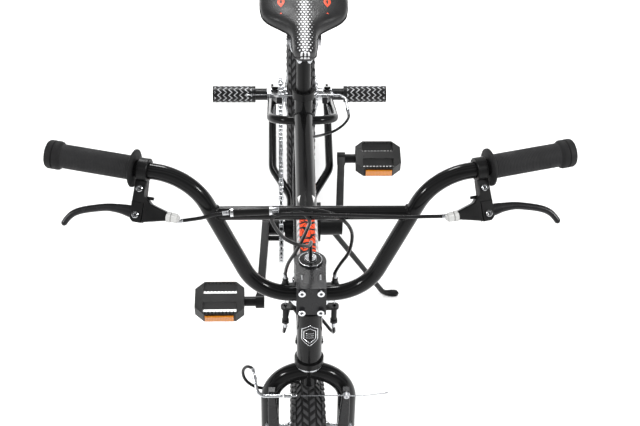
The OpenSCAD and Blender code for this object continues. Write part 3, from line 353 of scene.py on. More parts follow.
class Graph:
    """The node graph of one material, written in short calls."""

    def __init__(self, name: str) -> None:
        """Starts a material with one principled shader."""
        self.material = bpy.data.materials.new(name)
        self.material.use_nodes = True
        self.tree = self.material.node_tree
        self.tree.nodes.clear()
        self.shader = self.tree.nodes.new("ShaderNodeBsdfPrincipled")
        output = self.tree.nodes.new("ShaderNodeOutputMaterial")
        self.tree.links.new(self.shader.outputs[0], output.inputs[0])

    def put(self, socket: Socket, value: Any) -> None:
        """Links a value to a socket, or sets the socket to a plain number or colour."""
        if isinstance(value, bpy.types.NodeSocket):
            self.tree.links.new(value, socket)
        elif isinstance(value, tuple) and len(value) == 3 and socket.type == "RGBA":
            socket.default_value = (*value, 1.0)
        else:
            socket.default_value = value

    def set(self, **values: Any) -> None:
        """Sets the shader's inputs, named in lower case with _ for a space."""
        names = {s.name.lower().replace(" ", "_"): s for s in self.shader.inputs}
        for name, value in values.items():
            self.put(names[name], value)

    def node(self, kind: str, inputs: dict[Any, Any], **settings: Any) -> bpy.types.Node:
        """Adds a node.

        Args:
            kind: the node's type without its ShaderNode start.
            inputs: values for its inputs, by name or number.
            settings: its other settings.
        Returns:
            The node.
        """
        made = self.tree.nodes.new("ShaderNode" + kind)
        for name, value in settings.items():
            setattr(made, name, value)
        for name, value in inputs.items():
            self.put(made.inputs[name], value)
        return made

    def maths(self, operation: str, *values: Any) -> Socket:
        """One sum, product or other operation on numbers."""
        return self.node("Math", dict(enumerate(values)), operation=operation).outputs[0]

    def times(self, first: Any, second: Any) -> Socket:
        """The product of two values."""
        return self.maths("MULTIPLY", first, second)

    def plus(self, first: Any, second: Any) -> Socket:
        """The sum of two values."""
        return self.maths("ADD", first, second)

    def minus(self, first: Any, second: Any) -> Socket:
        """The first value less the second."""
        return self.maths("SUBTRACT", first, second)

    def size(self, value: Any) -> Socket:
        """The value without its sign."""
        return self.maths("ABSOLUTE", value)

    def under(self, value: Any, limit: Any) -> Socket:
        """One where the value is below the limit, and zero elsewhere."""
        return self.maths("LESS_THAN", value, limit)

    def fold(self, value: Any, top: float) -> Socket:
        """The value going up to `top` and back to zero, over and over."""
        return self.maths("PINGPONG", value, top)

    def place(self, on_surface: bool = False) -> Socket:
        """The point being shaded: in the object's own space, or its place on the surface."""
        if on_surface:
            return self.node("UVMap", {}, uv_map="surface").outputs[0]
        return self.node("TexCoord", {}).outputs["Object"]

    def parts(self, vector: Socket) -> tuple[Socket, Socket, Socket]:
        """The three numbers of a vector."""
        out = self.node("SeparateXYZ", {0: vector}).outputs
        return out[0], out[1], out[2]

    def noise(self, at: Socket, scale: float, detail: float = 2.0) -> Socket:
        """Soft noise of that many lumps in a metre."""
        return self.node("TexNoise", {"Vector": at, "Scale": scale, "Detail": detail}).outputs[0]

    def between(self, value: Any, low: float, high: float, to: tuple[float, float] = (0.0, 1.0)) -> Socket:
        """The value stretched from low and high to the two numbers in `to`, and held there."""
        return self.node("MapRange", {0: value, 1: low, 2: high, 3: to[0], 4: to[1]}).outputs[0]

    def blend(self, share: Any, first: Any, second: Any) -> Socket:
        """Two colours mixed by share, where 0 is the first."""
        return self.node("Mix", {0: share, 6: first, 7: second}, data_type="RGBA").outputs[2]

    def relief(self, height: Socket, depth: float, edge: float) -> None:
        """Gives the shader a bumpy surface of that depth, over edges rounded by `edge`."""
        inputs: dict[Any, Any] = {"Strength": 1.0, "Distance": depth, "Height": height}
        if edge > 0:
            inputs["Normal"] = self.node("Bevel", {"Radius": edge}, samples=4).outputs[0]
        self.put(self.shader.inputs["Normal"], self.node("Bump", inputs).outputs[0])


def shade(colour: Colour, factor: float) -> Colour:
    """A colour made lighter or darker by a factor."""
    return (colour[0] * factor, colour[1] * factor, colour[2] * factor)


@dataclass(frozen=True)
class Finish:
    """A plain finish: one colour with soft clouds, fine grain and slightly worn gloss."""

    name: str
    colour: Colour
    roughness: float
    metallic: float = 0.0
    coat: float = 0.0
    grain: float = 900.0
    depth: float = 0.00002
    spread: float = 0.2
    edge: float = 0.0005
    shine: float = 0.5

    def material(self) -> bpy.types.Material:
        """The finish as a material, made once."""
        found = bpy.data.materials.get(self.name)
        if found:
            return found
        graph = Graph(self.name)
        self.dress(graph)
        return graph.material

    def dress(self, graph: Graph) -> None:
        """Writes the graph: clouds for colour and gloss, and grain for the relief."""
        at = graph.place()
        self.settle(graph, at, self.base(graph, at), graph.noise(at, self.grain, 3.0))

    def base(self, graph: Graph, at: Socket) -> Socket:
        """The colour with its clouds."""
        cloud = graph.between(graph.noise(at, 14.0, 4.0), 0.35, 0.65)
        return graph.blend(cloud, shade(self.colour, 1 - self.spread), shade(self.colour, 1 + self.spread))

    def settle(self, graph: Graph, at: Socket, colour: Any, height: Socket, rough: Any = None) -> None:
        """Gives the shader its colour, gloss and relief.

        Args:
            graph: the graph that is written.
            at: the point being shaded.
            colour: the colour.
            height: the relief's height, from 0 to 1.
            rough: the roughness, or None for the finish's own with slight smears.
        """
        if rough is None:
            smear = graph.noise(at, 45.0, 5.0)
            rough = graph.between(smear, 0.3, 0.7, (self.roughness * 0.8, min(1.0, self.roughness * 1.25)))
        graph.set(base_color=colour, metallic=self.metallic, roughness=rough,
                  coat_weight=self.coat, coat_roughness=0.06, specular_ior_level=self.shine)
        graph.relief(height, self.depth, self.edge)


@dataclass(frozen=True)
class Brushed(Finish):
    """Bare metal with fine lines drawn along one direction."""

    lines: tuple[float, float, float] = (60.0, 1400.0, 60.0)

    def dress(self, graph: Graph) -> None:
        """Stretches the grain into lines, which also vary the gloss."""
        at = graph.place()
        drawn = graph.node("Mapping", {"Vector": at, "Scale": self.lines}).outputs[0]
        grain = graph.noise(drawn, 1.0, 4.0)
        rough = graph.between(grain, 0.3, 0.7, (self.roughness * 0.7, self.roughness * 1.4))
        self.settle(graph, at, self.base(graph, at), grain, rough)


@dataclass(frozen=True)
class Tread(Finish):
    """Rubber: dull, with moulding specks, and painted sheen that makes it paler where the surface's second
    number nears one, on raised rubber such as the tyre's knob tops and the grip's ribbed band.
    """

    # how many times paler the raised rubber is painted, as painted sheen
    wear_and_sheen: float = 4.0

    def dress(self, graph: Graph) -> None:
        """Adds specks from cells to the grain, and paints sheen on the raised rubber."""
        at = graph.place()
        specks = graph.node("TexVoronoi", {"Vector": at, "Scale": 700.0}).outputs[0]
        height = graph.plus(graph.noise(at, self.grain, 3.0), graph.times(specks, 0.5))
        top = graph.parts(graph.place(on_surface=True))[1]
        # painted sheen: where the mark nears one, the colour runs up to the colour times the factor
        colour = graph.blend(graph.between(top, 0.6, 1.0), self.base(graph, at),
                             shade(self.colour, self.wear_and_sheen))
        self.settle(graph, at, colour, height)


@dataclass(frozen=True)
class Knurled(Finish):
    """Black peg steel with bright zigzag cuts around it, between plain bands.

    A cut is where y, shifted by a triangle wave of the angle round the peg, is near a whole
    number of pitches.
    """

    centre: tuple[float, float] = (-0.475, 0.254)
    start: float = 0.100
    stop: float = 0.180
    pitch: float = 0.0115
    waves: float = 9.0
    bright: Colour = (0.55, 0.56, 0.58)

    def dress(self, graph: Graph) -> None:
        """Writes the zigzag cuts."""
        at = graph.place()
        x, y, z = graph.parts(at)
        angle = graph.maths("ARCTAN2", graph.minus(z, self.centre[1]),
                            graph.minus(x, self.centre[0]))
        wave = graph.fold(graph.times(angle, self.waves / math.pi), 1.0)
        along = graph.size(y)
        row = graph.maths("DIVIDE", along, self.pitch)
        near = graph.fold(graph.plus(row, graph.times(wave, 0.62)), 0.5)
        cut = graph.between(near, 0.07, 0.15, (1.0, 0.0))
        inside = graph.times(graph.between(along, self.start, self.start + 0.001),
                             graph.between(along, self.stop - 0.001, self.stop, (1.0, 0.0)))
        cut = graph.times(cut, inside)
        wear_and_sheen = graph.between(graph.noise(at, 160.0, 4.0), 0.35, 0.6, (0.35, 1.0))
        mark = graph.times(cut, wear_and_sheen)
        colour = graph.blend(mark, self.base(graph, at), self.bright)
        height = graph.minus(graph.noise(at, self.grain, 2.0), graph.times(cut, 4.0))
        self.settle(graph, at, colour, height)


@dataclass(frozen=True)
class Snakeskin(Finish):
    """Saddle cover: black, with a middle panel of small bright scales and red strokes beside it.

    The scales are rows of dots in a staggered grid that shrink from the middle outwards.
    """

    scale: float = 0.0062
    panel: float = 0.017
    bright: Colour = (0.62, 0.63, 0.64)
    stroke: Colour = (0.75, 0.06, 0.015)

    def dress(self, graph: Graph) -> None:
        """Writes the scales, the strokes and the leather grain."""
        at = graph.place()
        x, y, z = graph.parts(at)
        row = graph.maths("DIVIDE", x, self.scale)
        shift = graph.times(graph.maths("FLOORED_MODULO", graph.maths("FLOOR", row), 2.0), 0.5)
        column = graph.plus(graph.maths("DIVIDE", y, self.scale), shift)
        dx = graph.minus(graph.maths("FRACT", row), 0.5)
        dy = graph.minus(graph.maths("FRACT", column), 0.5)
        round_off = graph.maths("SQRT", graph.plus(graph.times(dx, dx),
                                                    graph.times(dy, dy)))
        side = graph.size(y)
        size = graph.between(side, 0.004, self.panel, (0.40, 0.0))
        dot = graph.under(round_off, size)
        strip = graph.size(graph.minus(side, 0.040))
        wavy = graph.maths("SINE", graph.times(x, 160.0))
        line = graph.under(graph.size(graph.maths(
            "SUBTRACT", strip, graph.times(wavy, 0.004))), 0.0022)
        rear = graph.under(x, -0.236)
        top = graph.maths("GREATER_THAN", z, 0.700)
        line = graph.times(graph.times(line, rear), top)
        dot = graph.times(dot, top)
        colour = graph.blend(dot, self.base(graph, at), self.bright)
        colour = graph.blend(line, colour, self.stroke)
        leather = graph.node("TexVoronoi", {"Vector": at, "Scale": 420.0}).outputs[0]
        height = graph.plus(leather, graph.times(dot, 0.8))
        self.settle(graph, at, colour, height)


@dataclass(frozen=True)
class TubeGraphic(Finish):
    """Gloss paint with an abstract printed band: orange strokes above, pale hatching at the sides.

    On the surface, the first number runs round the tube from the top and the second along it.
    """

    ink: Colour = (0.66, 0.055, 0.010)
    pale: Colour = (0.42, 0.40, 0.40)
    white: Colour = (0.70, 0.70, 0.69)

    def dress(self, graph: Graph) -> None:
        """Writes bent strokes, hatching and the band's ends."""
        at = graph.place()
        around, along, _ = graph.parts(graph.place(on_surface=True))
        spot = graph.node("CombineXYZ", {0: graph.times(around, 1.0),
                                         1: graph.times(along, 2.1)}).outputs[0]
        strokes = graph.node("TexWave", {"Vector": spot, "Scale": 2.1, "Distortion": 9.0, "Detail": 1.2,
                                         "Detail Scale": 1.4}, wave_type="RINGS").outputs[1]
        cells = graph.node("TexVoronoi", {"Vector": spot, "Scale": 6.5},
                           feature="DISTANCE_TO_EDGE").outputs[0]
        dark = graph.maths("MAXIMUM", graph.between(strokes, 0.70, 0.76), graph.between(cells, 0.05, 0.03))
        printed = graph.blend(dark, self.ink, self.colour)
        hatch = graph.fold(graph.times(along, 34.0), 1.0)
        hatch = graph.blend(graph.between(hatch, 0.3, 0.7), self.pale, shade(self.pale, 0.45))
        side = graph.size(graph.minus(around, 0.5))
        printed = graph.blend(graph.between(side, 0.205, 0.215), printed, hatch)
        edge = graph.plus(along, graph.times(graph.noise(spot, 3.0, 2.0), 0.06))
        ends = graph.times(graph.between(edge, 0.80, 0.81, (1.0, 0.0)),
                           graph.between(side, 0.30, 0.305, (1.0, 0.0)))
        spread = graph.times(graph.minus(along, 0.895), 0.7)
        arrow = graph.under(graph.size(graph.minus(side, 0.20)), spread)
        arrow = graph.times(arrow, graph.under(along, 0.968))
        colour = graph.blend(ends, self.base(graph, at), printed)
        self.settle(graph, at, graph.blend(arrow, colour, self.white), graph.noise(at, self.grain))


@dataclass(frozen=True)
class Prisms(Finish):
    """Amber reflector: clear plastic over rows of small raised squares."""

    per_metre: float = 700.0

    def dress(self, graph: Graph) -> None:
        """Writes the squares as a relief, and paints shade into the colour: half as bright where the relief
        is low, between the squares.
        """
        at = graph.place()
        _, y, z = graph.parts(at)
        rows = graph.fold(graph.times(y, self.per_metre), 1.0)
        columns = graph.fold(graph.times(z, self.per_metre), 1.0)
        height = graph.maths("MINIMUM", rows, columns)
        # painted shade: the colour darkens to half where the squares' relief falls away
        colour = graph.blend(height, shade(self.colour, 0.5), self.colour)
        self.settle(graph, at, colour, height)


@dataclass(frozen=True)
class RimPaint(Finish):
    """Black rim with a bright worn brake track at each side, by distance from the wheel's axle."""

    axle_x: float = 0.0
    axle_z: float = 0.254
    track: tuple[float, float] = (0.1965, 0.2085)
    bright: Colour = (0.30, 0.31, 0.33)

    def dress(self, graph: Graph) -> None:
        """Writes the track and its turning marks."""
        at = graph.place()
        x, y, z = graph.parts(at)
        dx, dz = graph.minus(x, self.axle_x), graph.minus(z, self.axle_z)
        far = graph.maths("SQRT", graph.plus(graph.times(dx, dx),
                                              graph.times(dz, dz)))
        band = graph.times(graph.between(far, self.track[0], self.track[0] + 0.0004),
                           graph.between(far, self.track[1], self.track[1] + 0.0004, (1.0, 0.0)))
        band = graph.times(band, graph.between(graph.size(y), 0.0155, 0.0158))
        rings = graph.node("CombineXYZ", {0: graph.times(far, 2500.0)}).outputs[0]
        marks = graph.noise(rings, 1.0)
        colour = graph.blend(graph.times(band, graph.between(marks, 0.3, 0.7, (0.5, 1.0))),
                             self.base(graph, at), self.bright)
        self.settle(graph, at, colour, graph.noise(at, self.grain))


@dataclass(frozen=True)
class CapPlate(Finish):
    """Stem cap: a bright hollow nut in the middle and a bright rim, with black enamel between.

    The distance from the steering axis is the length of the place's cross product with it.
    """

    inner: float = 0.0086
    outer: float = 0.0158
    bright: Colour = (0.72, 0.73, 0.75)

    def dress(self, graph: Graph) -> None:
        """Writes the rings by distance from the steering axis."""
        at = graph.place()
        base = PLACES.on_steer(0, 0, 0)
        away = graph.node("VectorMath", {0: at, 1: tuple(base)}, operation="SUBTRACT").outputs[0]
        cross = graph.node("VectorMath", {0: away, 1: tuple(PLACES.steer_up)},
                           operation="CROSS_PRODUCT").outputs[0]
        far = graph.node("VectorMath", {0: cross}, operation="LENGTH").outputs["Value"]
        dark = graph.times(graph.between(far, self.inner, self.inner + 0.0004),
                           graph.between(far, self.outer, self.outer + 0.0004, (1.0, 0.0)))
        colour = graph.blend(dark, self.bright, self.colour)
        graph.set(base_color=colour, metallic=graph.minus(1.0, dark),
                  roughness=graph.between(graph.noise(at, 60.0, 4.0), 0.3, 0.7, (0.10, 0.18)))
        graph.relief(graph.noise(at, self.grain), self.depth, self.edge)


BLACK: Colour = (0.006, 0.006, 0.0062)
ENAMEL = Finish("gloss_enamel", BLACK, 0.14, coat=0.06, grain=500.0, depth=0.00001, shine=0.15)
FORGED = Finish("satin_forged", (0.005, 0.005, 0.0052), 0.34, grain=1200.0, depth=0.00003, shine=0.2)
ANODISED = Finish("black_anodised", (0.010, 0.010, 0.011), 0.26, grain=2600.0, depth=0.00001, shine=0.3)
STEEL = Brushed("zinc_steel", (0.55, 0.56, 0.58), 0.26, metallic=1.0, depth=0.00001, spread=0.1)
CHROME = Brushed("bright_chrome", (0.78, 0.79, 0.81), 0.08, metallic=1.0, depth=0.000003, spread=0.05)
ALLOY = Brushed("polished_alloy", (0.68, 0.69, 0.71), 0.22, metallic=1.0, depth=0.00001, spread=0.1)
# painted sheen: the factor after shine on GRIP makes its ribbed band paler, and TYRE's knob tops take the
# default
GRIP = Tread("grip_rubber", (0.010, 0.010, 0.0105), 0.62, shine=0.2, wear_and_sheen=2.4, grain=1800.0, depth=0.00008)
TYRE = Tread("tyre_rubber", (0.012, 0.012, 0.0125), 0.6, shine=0.35, grain=1300.0, depth=0.00010, spread=0.3)
MOULDED = Finish("moulded_plastic", (0.005, 0.005, 0.005), 0.34, grain=2000.0, depth=0.00005, shine=0.2)
JACKET = Finish("cable_jacket", (0.007, 0.007, 0.0075), 0.28, grain=1500.0, depth=0.00002, shine=0.3)
WHITE = Finish("white_plastic", (0.46, 0.46, 0.45), 0.35, grain=1500.0, depth=0.00002, spread=0.04)
PEG = Knurled("knurled_peg", (0.009, 0.009, 0.0095), 0.3, shine=0.25, depth=0.00012)
SADDLE = Snakeskin("saddle_cover", (0.012, 0.012, 0.0125), 0.42, shine=0.35, depth=0.00022, spread=0.15)
CAP = CapPlate("stem_cap_plate", BLACK, 0.15, grain=900.0, depth=0.00001)
GRAPHIC = TubeGraphic("tube_graphic", BLACK, 0.16, shine=0.25, grain=500.0, depth=0.00001)
AMBER = Prisms("amber_prisms", (0.85, 0.28, 0.02), 0.18, coat=0.5, depth=0.0004)
FRONT_RIM = RimPaint("front_rim_paint", (0.009, 0.009, 0.0095), 0.25, shine=0.3, axle_x=0.475)
REAR_RIM = RimPaint("rear_rim_paint", (0.009, 0.009, 0.0095), 0.25, shine=0.3, axle_x=-0.475)

BY_SLOT: dict[str, Finish] = {
    "frame_paint": ENAMEL, "bar_paint": ENAMEL, "fork_paint": ENAMEL, "black_parts": FORGED,
    "tyre": TYRE, "grip": GRIP, "steel": STEEL, "chrome": CHROME, "alloy": ALLOY,
    "black_alloy": ANODISED, "pedal_plastic": MOULDED, "reflector": AMBER, "adjuster": WHITE,
    "saddle": SADDLE, "cable": JACKET, "peg": PEG, "rim_paint": REAR_RIM,
}


# ---------------------------------------------------------------- the bicycle's places


@dataclass(frozen=True)
class Layout:
    """The bicycle's main sizes, and places beside its steering axis and its seat stays."""

    wheelbase: float = 0.950
    axle_height: float = 0.254
    head_angle: float = 74.0
    fork_offset: float = 0.035
    bracket: tuple[float, float, float] = (-0.0976, 0.0, 0.2884)
    seat_angle: float = 71.0
    seat_tube: float = 0.294
    stay_drop: float = 0.065
    stem_reach: float = 0.047
    bar_height: float = 0.4917
    bar_rise: float = 0.199
    bar_half_bottom: float = 0.074
    bar_half_top: float = 0.160
    bar_half_width: float = 0.354
    backsweep: float = 0.053
    upsweep: float = 0.0033
    grip_length: float = 0.124

    @property
    def front(self) -> Array:
        """Middle of the front axle."""
        return np.array([self.wheelbase / 2, 0, self.axle_height])

    @property
    def rear(self) -> Array:
        """Middle of the rear axle."""
        return np.array([-self.wheelbase / 2, 0, self.axle_height])

    @property
    def steer_up(self) -> Array:
        """Direction up the steering axis."""
        a = math.radians(self.head_angle)
        return np.array([-math.cos(a), 0, math.sin(a)])

    @property
    def steer_ahead(self) -> Array:
        """Direction forward from the steering axis, square to it."""
        a = math.radians(self.head_angle)
        return np.array([math.sin(a), 0, math.cos(a)])

    @property
    def seat_up(self) -> Array:
        """Direction up the seat tube."""
        a = math.radians(self.seat_angle)
        return np.array([-math.cos(a), 0, math.sin(a)])

    @property
    def stay_angle(self) -> float:
        """Angle of the seat stays above level, in radians."""
        joint = np.array(self.bracket) + (self.seat_tube - self.stay_drop) * self.seat_up
        rise = joint - self.rear
        return math.atan2(rise[2], rise[0])

    def on_steer(self, ahead: float, y: float, up: float) -> Array:
        """A place in front of, beside and up the steering axis, from the point nearest the front axle."""
        base = self.front - self.fork_offset * self.steer_ahead
        return base + ahead * self.steer_ahead + np.array([0, y, 0]) + up * self.steer_up

    def on_stay(self, above: float, y: float, along: float) -> Array:
        """A place above, beside and along the seat stays, from the rear axle."""
        a = self.stay_angle
        return (self.rear + above * np.array([-math.sin(a), 0, math.cos(a)]) + np.array([0, y, 0])
                + along * np.array([math.cos(a), 0, math.sin(a)]))

    @property
    def bar_corner(self) -> Array:
        """Where the left upright of the bar meets its sweep, before the bend is rounded."""
        return self.on_steer(self.stem_reach, self.bar_half_top, self.bar_height + self.bar_rise)

    @property
    def grip_end(self) -> Array:
        """Outer end of the left grip."""
        return self.on_steer(self.stem_reach - self.backsweep, self.bar_half_width,
                             self.bar_height + self.bar_rise + self.upsweep)

    @property
    def grip_way(self) -> Array:
        """Direction outwards along the left grip."""
        return unit(self.grip_end - self.bar_corner)

    def lever_frame(self) -> tuple[Array, Array]:
        """The left lever's directions, outwards along the bar, forward and square to both, and its seat."""
        out = self.grip_way
        lean = np.array([math.cos(math.radians(37)), 0, -math.sin(math.radians(37))])
        reach = unit(lean - (lean @ out) * out)
        seat = self.grip_end - (self.grip_length + 0.012) * out
        return np.stack([out, reach, np.cross(out, reach)]), seat


PLACES = Layout()


@dataclass
class Welds:
    """Beads of weld where tubes join, as a thin rippled cord laid along the seam."""

    radius: float = 0.0021
    ripple: float = 0.22
    step: float = 0.0032

    def bead(self, piece: Piece, line: Array) -> None:
        """Adds one bead along a closed line.

        The bead's radius is its mean times one plus a sine of the distance along the line.

        Args:
            piece: the piece that takes the bead.
            line: the closed line that the bead follows.
        """
        line = evenly(np.vstack([line, line[:1]]), self.step / 5)[:-1]
        far = np.arange(len(line)) * 2 * np.pi / 5
        normal = np.cross(line[len(line) // 3] - line[0], line[2 * len(line) // 3] - line[0])
        section = swept(line, self.radius * (1 + self.ripple * np.sin(far)), 8, unit(normal), closed=True)
        piece.grid(section, Flow.RING)


@dataclass
class FrameTubes:
    """The stays with smooth bends, the welds, the printed band and the head badge."""

    stay_radius: float = 0.00795
    stay_y: float = 0.059
    top_radius: float = 0.017
    down_radius: float = 0.019
    seat_radius: float = 0.0159
    head_radius: float = 0.019
    head_bottom: float = 0.326
    head_top: float = 0.438
    shell_radius: float = 0.0285
    hoop_drop: float = 0.021

    def build(self) -> None:
        """Builds every piece of the frame."""
        self.stays()
        self.welds()
        self.band()
        self.badge()

    @property
    def top_front(self) -> Array:
        """Front end of the top tube's axis."""
        return PLACES.on_steer(0, 0, self.head_top - 0.026)

    @property
    def top_back(self) -> Array:
        """Rear end of the top tube's axis."""
        return np.array(PLACES.bracket) + (PLACES.seat_tube - 0.052) * PLACES.seat_up

    def stays(self) -> None:
        """Sweeps the seat stays as one hoop over the wheel, and each chain stay along its bends."""
        reach = float(np.linalg.norm(np.array(PLACES.bracket) + (PLACES.seat_tube - PLACES.stay_drop)
                                     * PLACES.seat_up - PLACES.rear))
        top = reach - self.hoop_drop
        corners = [PLACES.on_stay(0, y, s) for y, s in ((self.stay_y, 0.030), (self.stay_y, top),
                                                        (-self.stay_y, top), (-self.stay_y, 0.030))]
        a = PLACES.stay_angle
        hoop = evenly(rounded(corners, 0.044, 20), 0.003)
        Piece("seat_stay_hoop").grid(swept(hoop, self.stay_radius, 32, (-math.sin(a), 0, math.cos(a)))).grid(
            self.boss(Side.LEFT)).grid(self.boss(Side.RIGHT)).make(
            ENAMEL, "frame", "frame_paint", ["seat_stays"])
        piece = Piece("chain_stay_pair")
        bb, rear = np.array(PLACES.bracket), PLACES.rear
        for side in Side:
            corners = [bb + [-0.022, 0.021, -0.002], rear + [0.2984, 0.021, 0.0284],
                       rear + [0.222, self.stay_y - 0.002, 0.020],
                       rear + [0.020, self.stay_y - 0.0015, 0.002]]
            path = evenly(rounded(corners, 0.060, 16), 0.003) * [1, side.value, 1]
            piece.grid(swept(path, self.stay_radius, 32))
        piece.make(ENAMEL, "frame", "frame_paint", ["chain_stays"])

    def boss(self, side: Side) -> Array:
        """The brake pivot on a seat stay, turned about its own axis."""
        a = PLACES.stay_angle
        return turned(PLACES.on_stay(0.004, side.value * 0.052, 0.176), (-math.sin(a), 0, math.cos(a)), [
            (0, 0.0070), (0.0117, 0.0070), (0.0117, 0.0040), (0.029, 0.0040), (0.029, 0.0065),
            (0.0335, 0.0065), (0.034, 0.0058)], 32)

    def welds(self) -> None:
        """Lays a bead round each joint of the main tubes."""
        beads = Welds()
        piece = Piece("frame_welds")
        bb = np.array(PLACES.bracket)
        head = (PLACES.on_steer(0, 0, 0), PLACES.steer_up, self.head_radius)
        seat = (bb, PLACES.seat_up, self.seat_radius)
        shell = (bb, np.array([0.0, 1, 0]), self.shell_radius)
        down_front = PLACES.on_steer(0, 0, self.head_bottom + 0.030)
        top_way, down_way = unit(self.top_back - self.top_front), unit(bb - down_front)
        for onto, tube in (
            (head, (self.top_front, top_way, self.top_radius)),
            (head, (down_front, down_way, self.down_radius)),
            (seat, (self.top_back, -top_way, self.top_radius - 0.0012)),
            (shell, (bb, -down_way, self.down_radius)),
            (shell, (bb, PLACES.seat_up, self.seat_radius)),
        ):
            beads.bead(piece, seam(onto, tube))
        piece.make(ENAMEL, "frame", "frame_paint")

    def band(self) -> None:
        """A thin printed band over the front of the top tube.

        Its points lie on a circle round the tube's axis, from 112 degrees on one side of the top
        to 112 degrees on the other, at each step along the tube.
        """
        way = unit(self.top_back - self.top_front)
        side = np.array([0.0, 1, 0])
        up = np.cross(side, way) * np.sign(np.cross(side, way)[2])
        turn = np.linspace(math.radians(-112), math.radians(112), 65)
        along = np.linspace(0.034, 0.275, 60)
        ring = np.sin(turn)[:, None] * side + np.cos(turn)[:, None] * up
        grid = self.top_front + along[:, None, None] * way + (self.top_radius + 0.00025) * ring[None]
        u, v = np.meshgrid(np.linspace(0, 1, 65), np.linspace(0, 1, 60))
        Piece("top_tube_print").grid(grid, Flow.SHEET, marks=np.stack([u, v], axis=-1)).make(
            GRAPHIC, "frame", "frame_paint")

    def badge(self) -> None:
        """A plain six-sided badge of thin bright lines on the front of the head tube."""
        def on_head(points: Sequence[Sequence[float]]) -> Array:
            """Bends flat points, across and up, round the head tube's front."""
            flat = np.asarray(points, float)
            turn = flat[:, 0] / self.head_radius
            r = self.head_radius + 0.0002
            return (PLACES.on_steer(0, 0, 0) + (r * np.cos(turn))[:, None] * PLACES.steer_ahead
                    + (r * np.sin(turn))[:, None] * np.array([0, 1, 0])
                    + flat[:, 1][:, None] * PLACES.steer_up)

        piece = Piece("head_badge")
        middle = 0.385
        for size in (1.0, 0.72):
            corners = [(0, 0.020), (0.0125, 0.011), (0.0125, -0.009), (0, -0.020), (-0.0125, -0.009),
                       (-0.0125, 0.011), (0, 0.020)]
            line = evenly(np.array([(x * size, y * size + middle, 0) for x, y in corners]), 0.0012)
            piece.grid(swept(on_head(line[:-1, :2]), 0.0006, 8, PLACES.steer_ahead, closed=True), Flow.RING)
        for height in (-0.004, 0.0, 0.004):
            line = np.stack([np.linspace(-0.006, 0.006, 9), np.full(9, middle + height)], axis=1)
            piece.grid(swept(on_head(line), 0.0005, 8, PLACES.steer_ahead))
        piece.make(CHROME, "frame", "chrome")


@dataclass
class Tyre:
    """A tyre: a casing turned from its section, with rows of tread blocks laid on it."""

    name: str
    body: str
    node: str
    centre: Array
    radius: float = 0.254
    half_width: float = 0.027
    bead_radius: float = 0.2085
    block_height: float = 0.0022
    pitches: int = 96
    sides: int = 192

    def casing(self, turn: Array, lift: float) -> tuple[Array, Array]:
        """Half width and radius of the casing at an angle from straight out.

        The section is a circle of the half width, a little squarer than round.

        Args:
            turn: angles from straight out, in radians.
            lift: height above the casing.
        Returns:
            The place across the wheel and the distance from the axle.
        """
        r = self.half_width - self.block_height * 0.6 + lift
        middle = self.radius - self.half_width
        return r * np.sin(turn), middle + (r + 0.0002) * np.cos(turn)

    def build(self) -> None:
        """Builds the casing and the tread as one piece."""
        turn = np.linspace(math.radians(-132), math.radians(132), 61)
        across, far = self.casing(turn, 0.0)
        rib = 0.0004 * np.clip(np.sin(np.abs(turn) * 26), 0, 1) * (np.abs(turn) > 1.25)
        across, far = across + rib * np.sign(turn), np.maximum(far, self.bead_radius)
        across = np.clip(across, -self.half_width, self.half_width)
        inner = np.array([[0.0135, self.bead_radius - 0.001], [-0.0135, self.bead_radius - 0.001]])
        section = np.vstack([np.stack([across, far], axis=1), inner])
        angle = np.linspace(0, 2 * np.pi, self.sides, endpoint=False)
        ring = np.stack([np.cos(angle), np.zeros_like(angle), np.sin(angle)], axis=1)
        grid = (self.centre + section[:, 0][:, None, None] * np.array([0, 1, 0])
                + section[:, 1][:, None, None] * ring[None])
        plain = np.zeros((*grid.shape[:2], 2))
        piece = Piece(self.name).grid(grid[::-1], Flow.RING, marks=plain)
        self.tread(piece)
        piece.make(TYRE, self.body, "tyre", [self.node], crease=28)

    def tread(self, piece: Piece) -> None:
        """Lays the blocks, as skewed boxes that narrow towards their tops.

        A block's corners are at its two section angles and its two wheel angles, where the wheel
        angle also grows with the section angle to slant the block.
        """
        rows = [  # section angles, share of a pitch that it fills, slant, shift in pitches
            (0.03, 0.36, 0.60, 0.50, 0.00), (0.43, 0.74, 0.60, -0.45, 0.50),
            (0.81, 1.06, 0.64, 0.25, 0.05), (1.12, 1.28, 0.42, 0.0, 0.55),
        ]
        step = 2 * np.pi / self.pitches
        count = np.arange(self.pitches)
        for low, high, fill, slant, shift in rows:
            for side in (1, -1):
                phase = (count + shift + (0.5 if side < 0 else 0.0)) * step
                section = np.linspace(low, high, 3)
                across = np.tile(section, 2)
                edge = np.repeat([-0.5, 0.5], 3) * fill * step
                lean = (across - (low + high) / 2) / (high - low) * slant * step
                rings = []
                for lift, shrink in ((-0.0006, 1.0), (self.block_height, 0.82)):
                    turn = (low + high) / 2 + (across - (low + high) / 2) * shrink
                    y, far = self.casing(turn, lift)
                    far = np.minimum(far, self.radius)
                    at = phase[:, None] + edge * shrink + lean
                    rings.append(np.stack([far * np.cos(at), np.broadcast_to(y * side, at.shape),
                                           far * np.sin(at)], axis=-1))
                corners = np.concatenate(rings, axis=1) + self.centre
                faces = [(6, 7, 10, 9), (7, 8, 11, 10), (0, 1, 7, 6), (1, 2, 8, 7), (2, 5, 11, 8),
                         (5, 4, 10, 11), (4, 3, 9, 10), (3, 0, 6, 9)]
                # the six top corners are marked, and the tread finish paints sheen on them
                piece.blocks(corners, faces if side < 0 else [f[::-1] for f in faces], top=6)


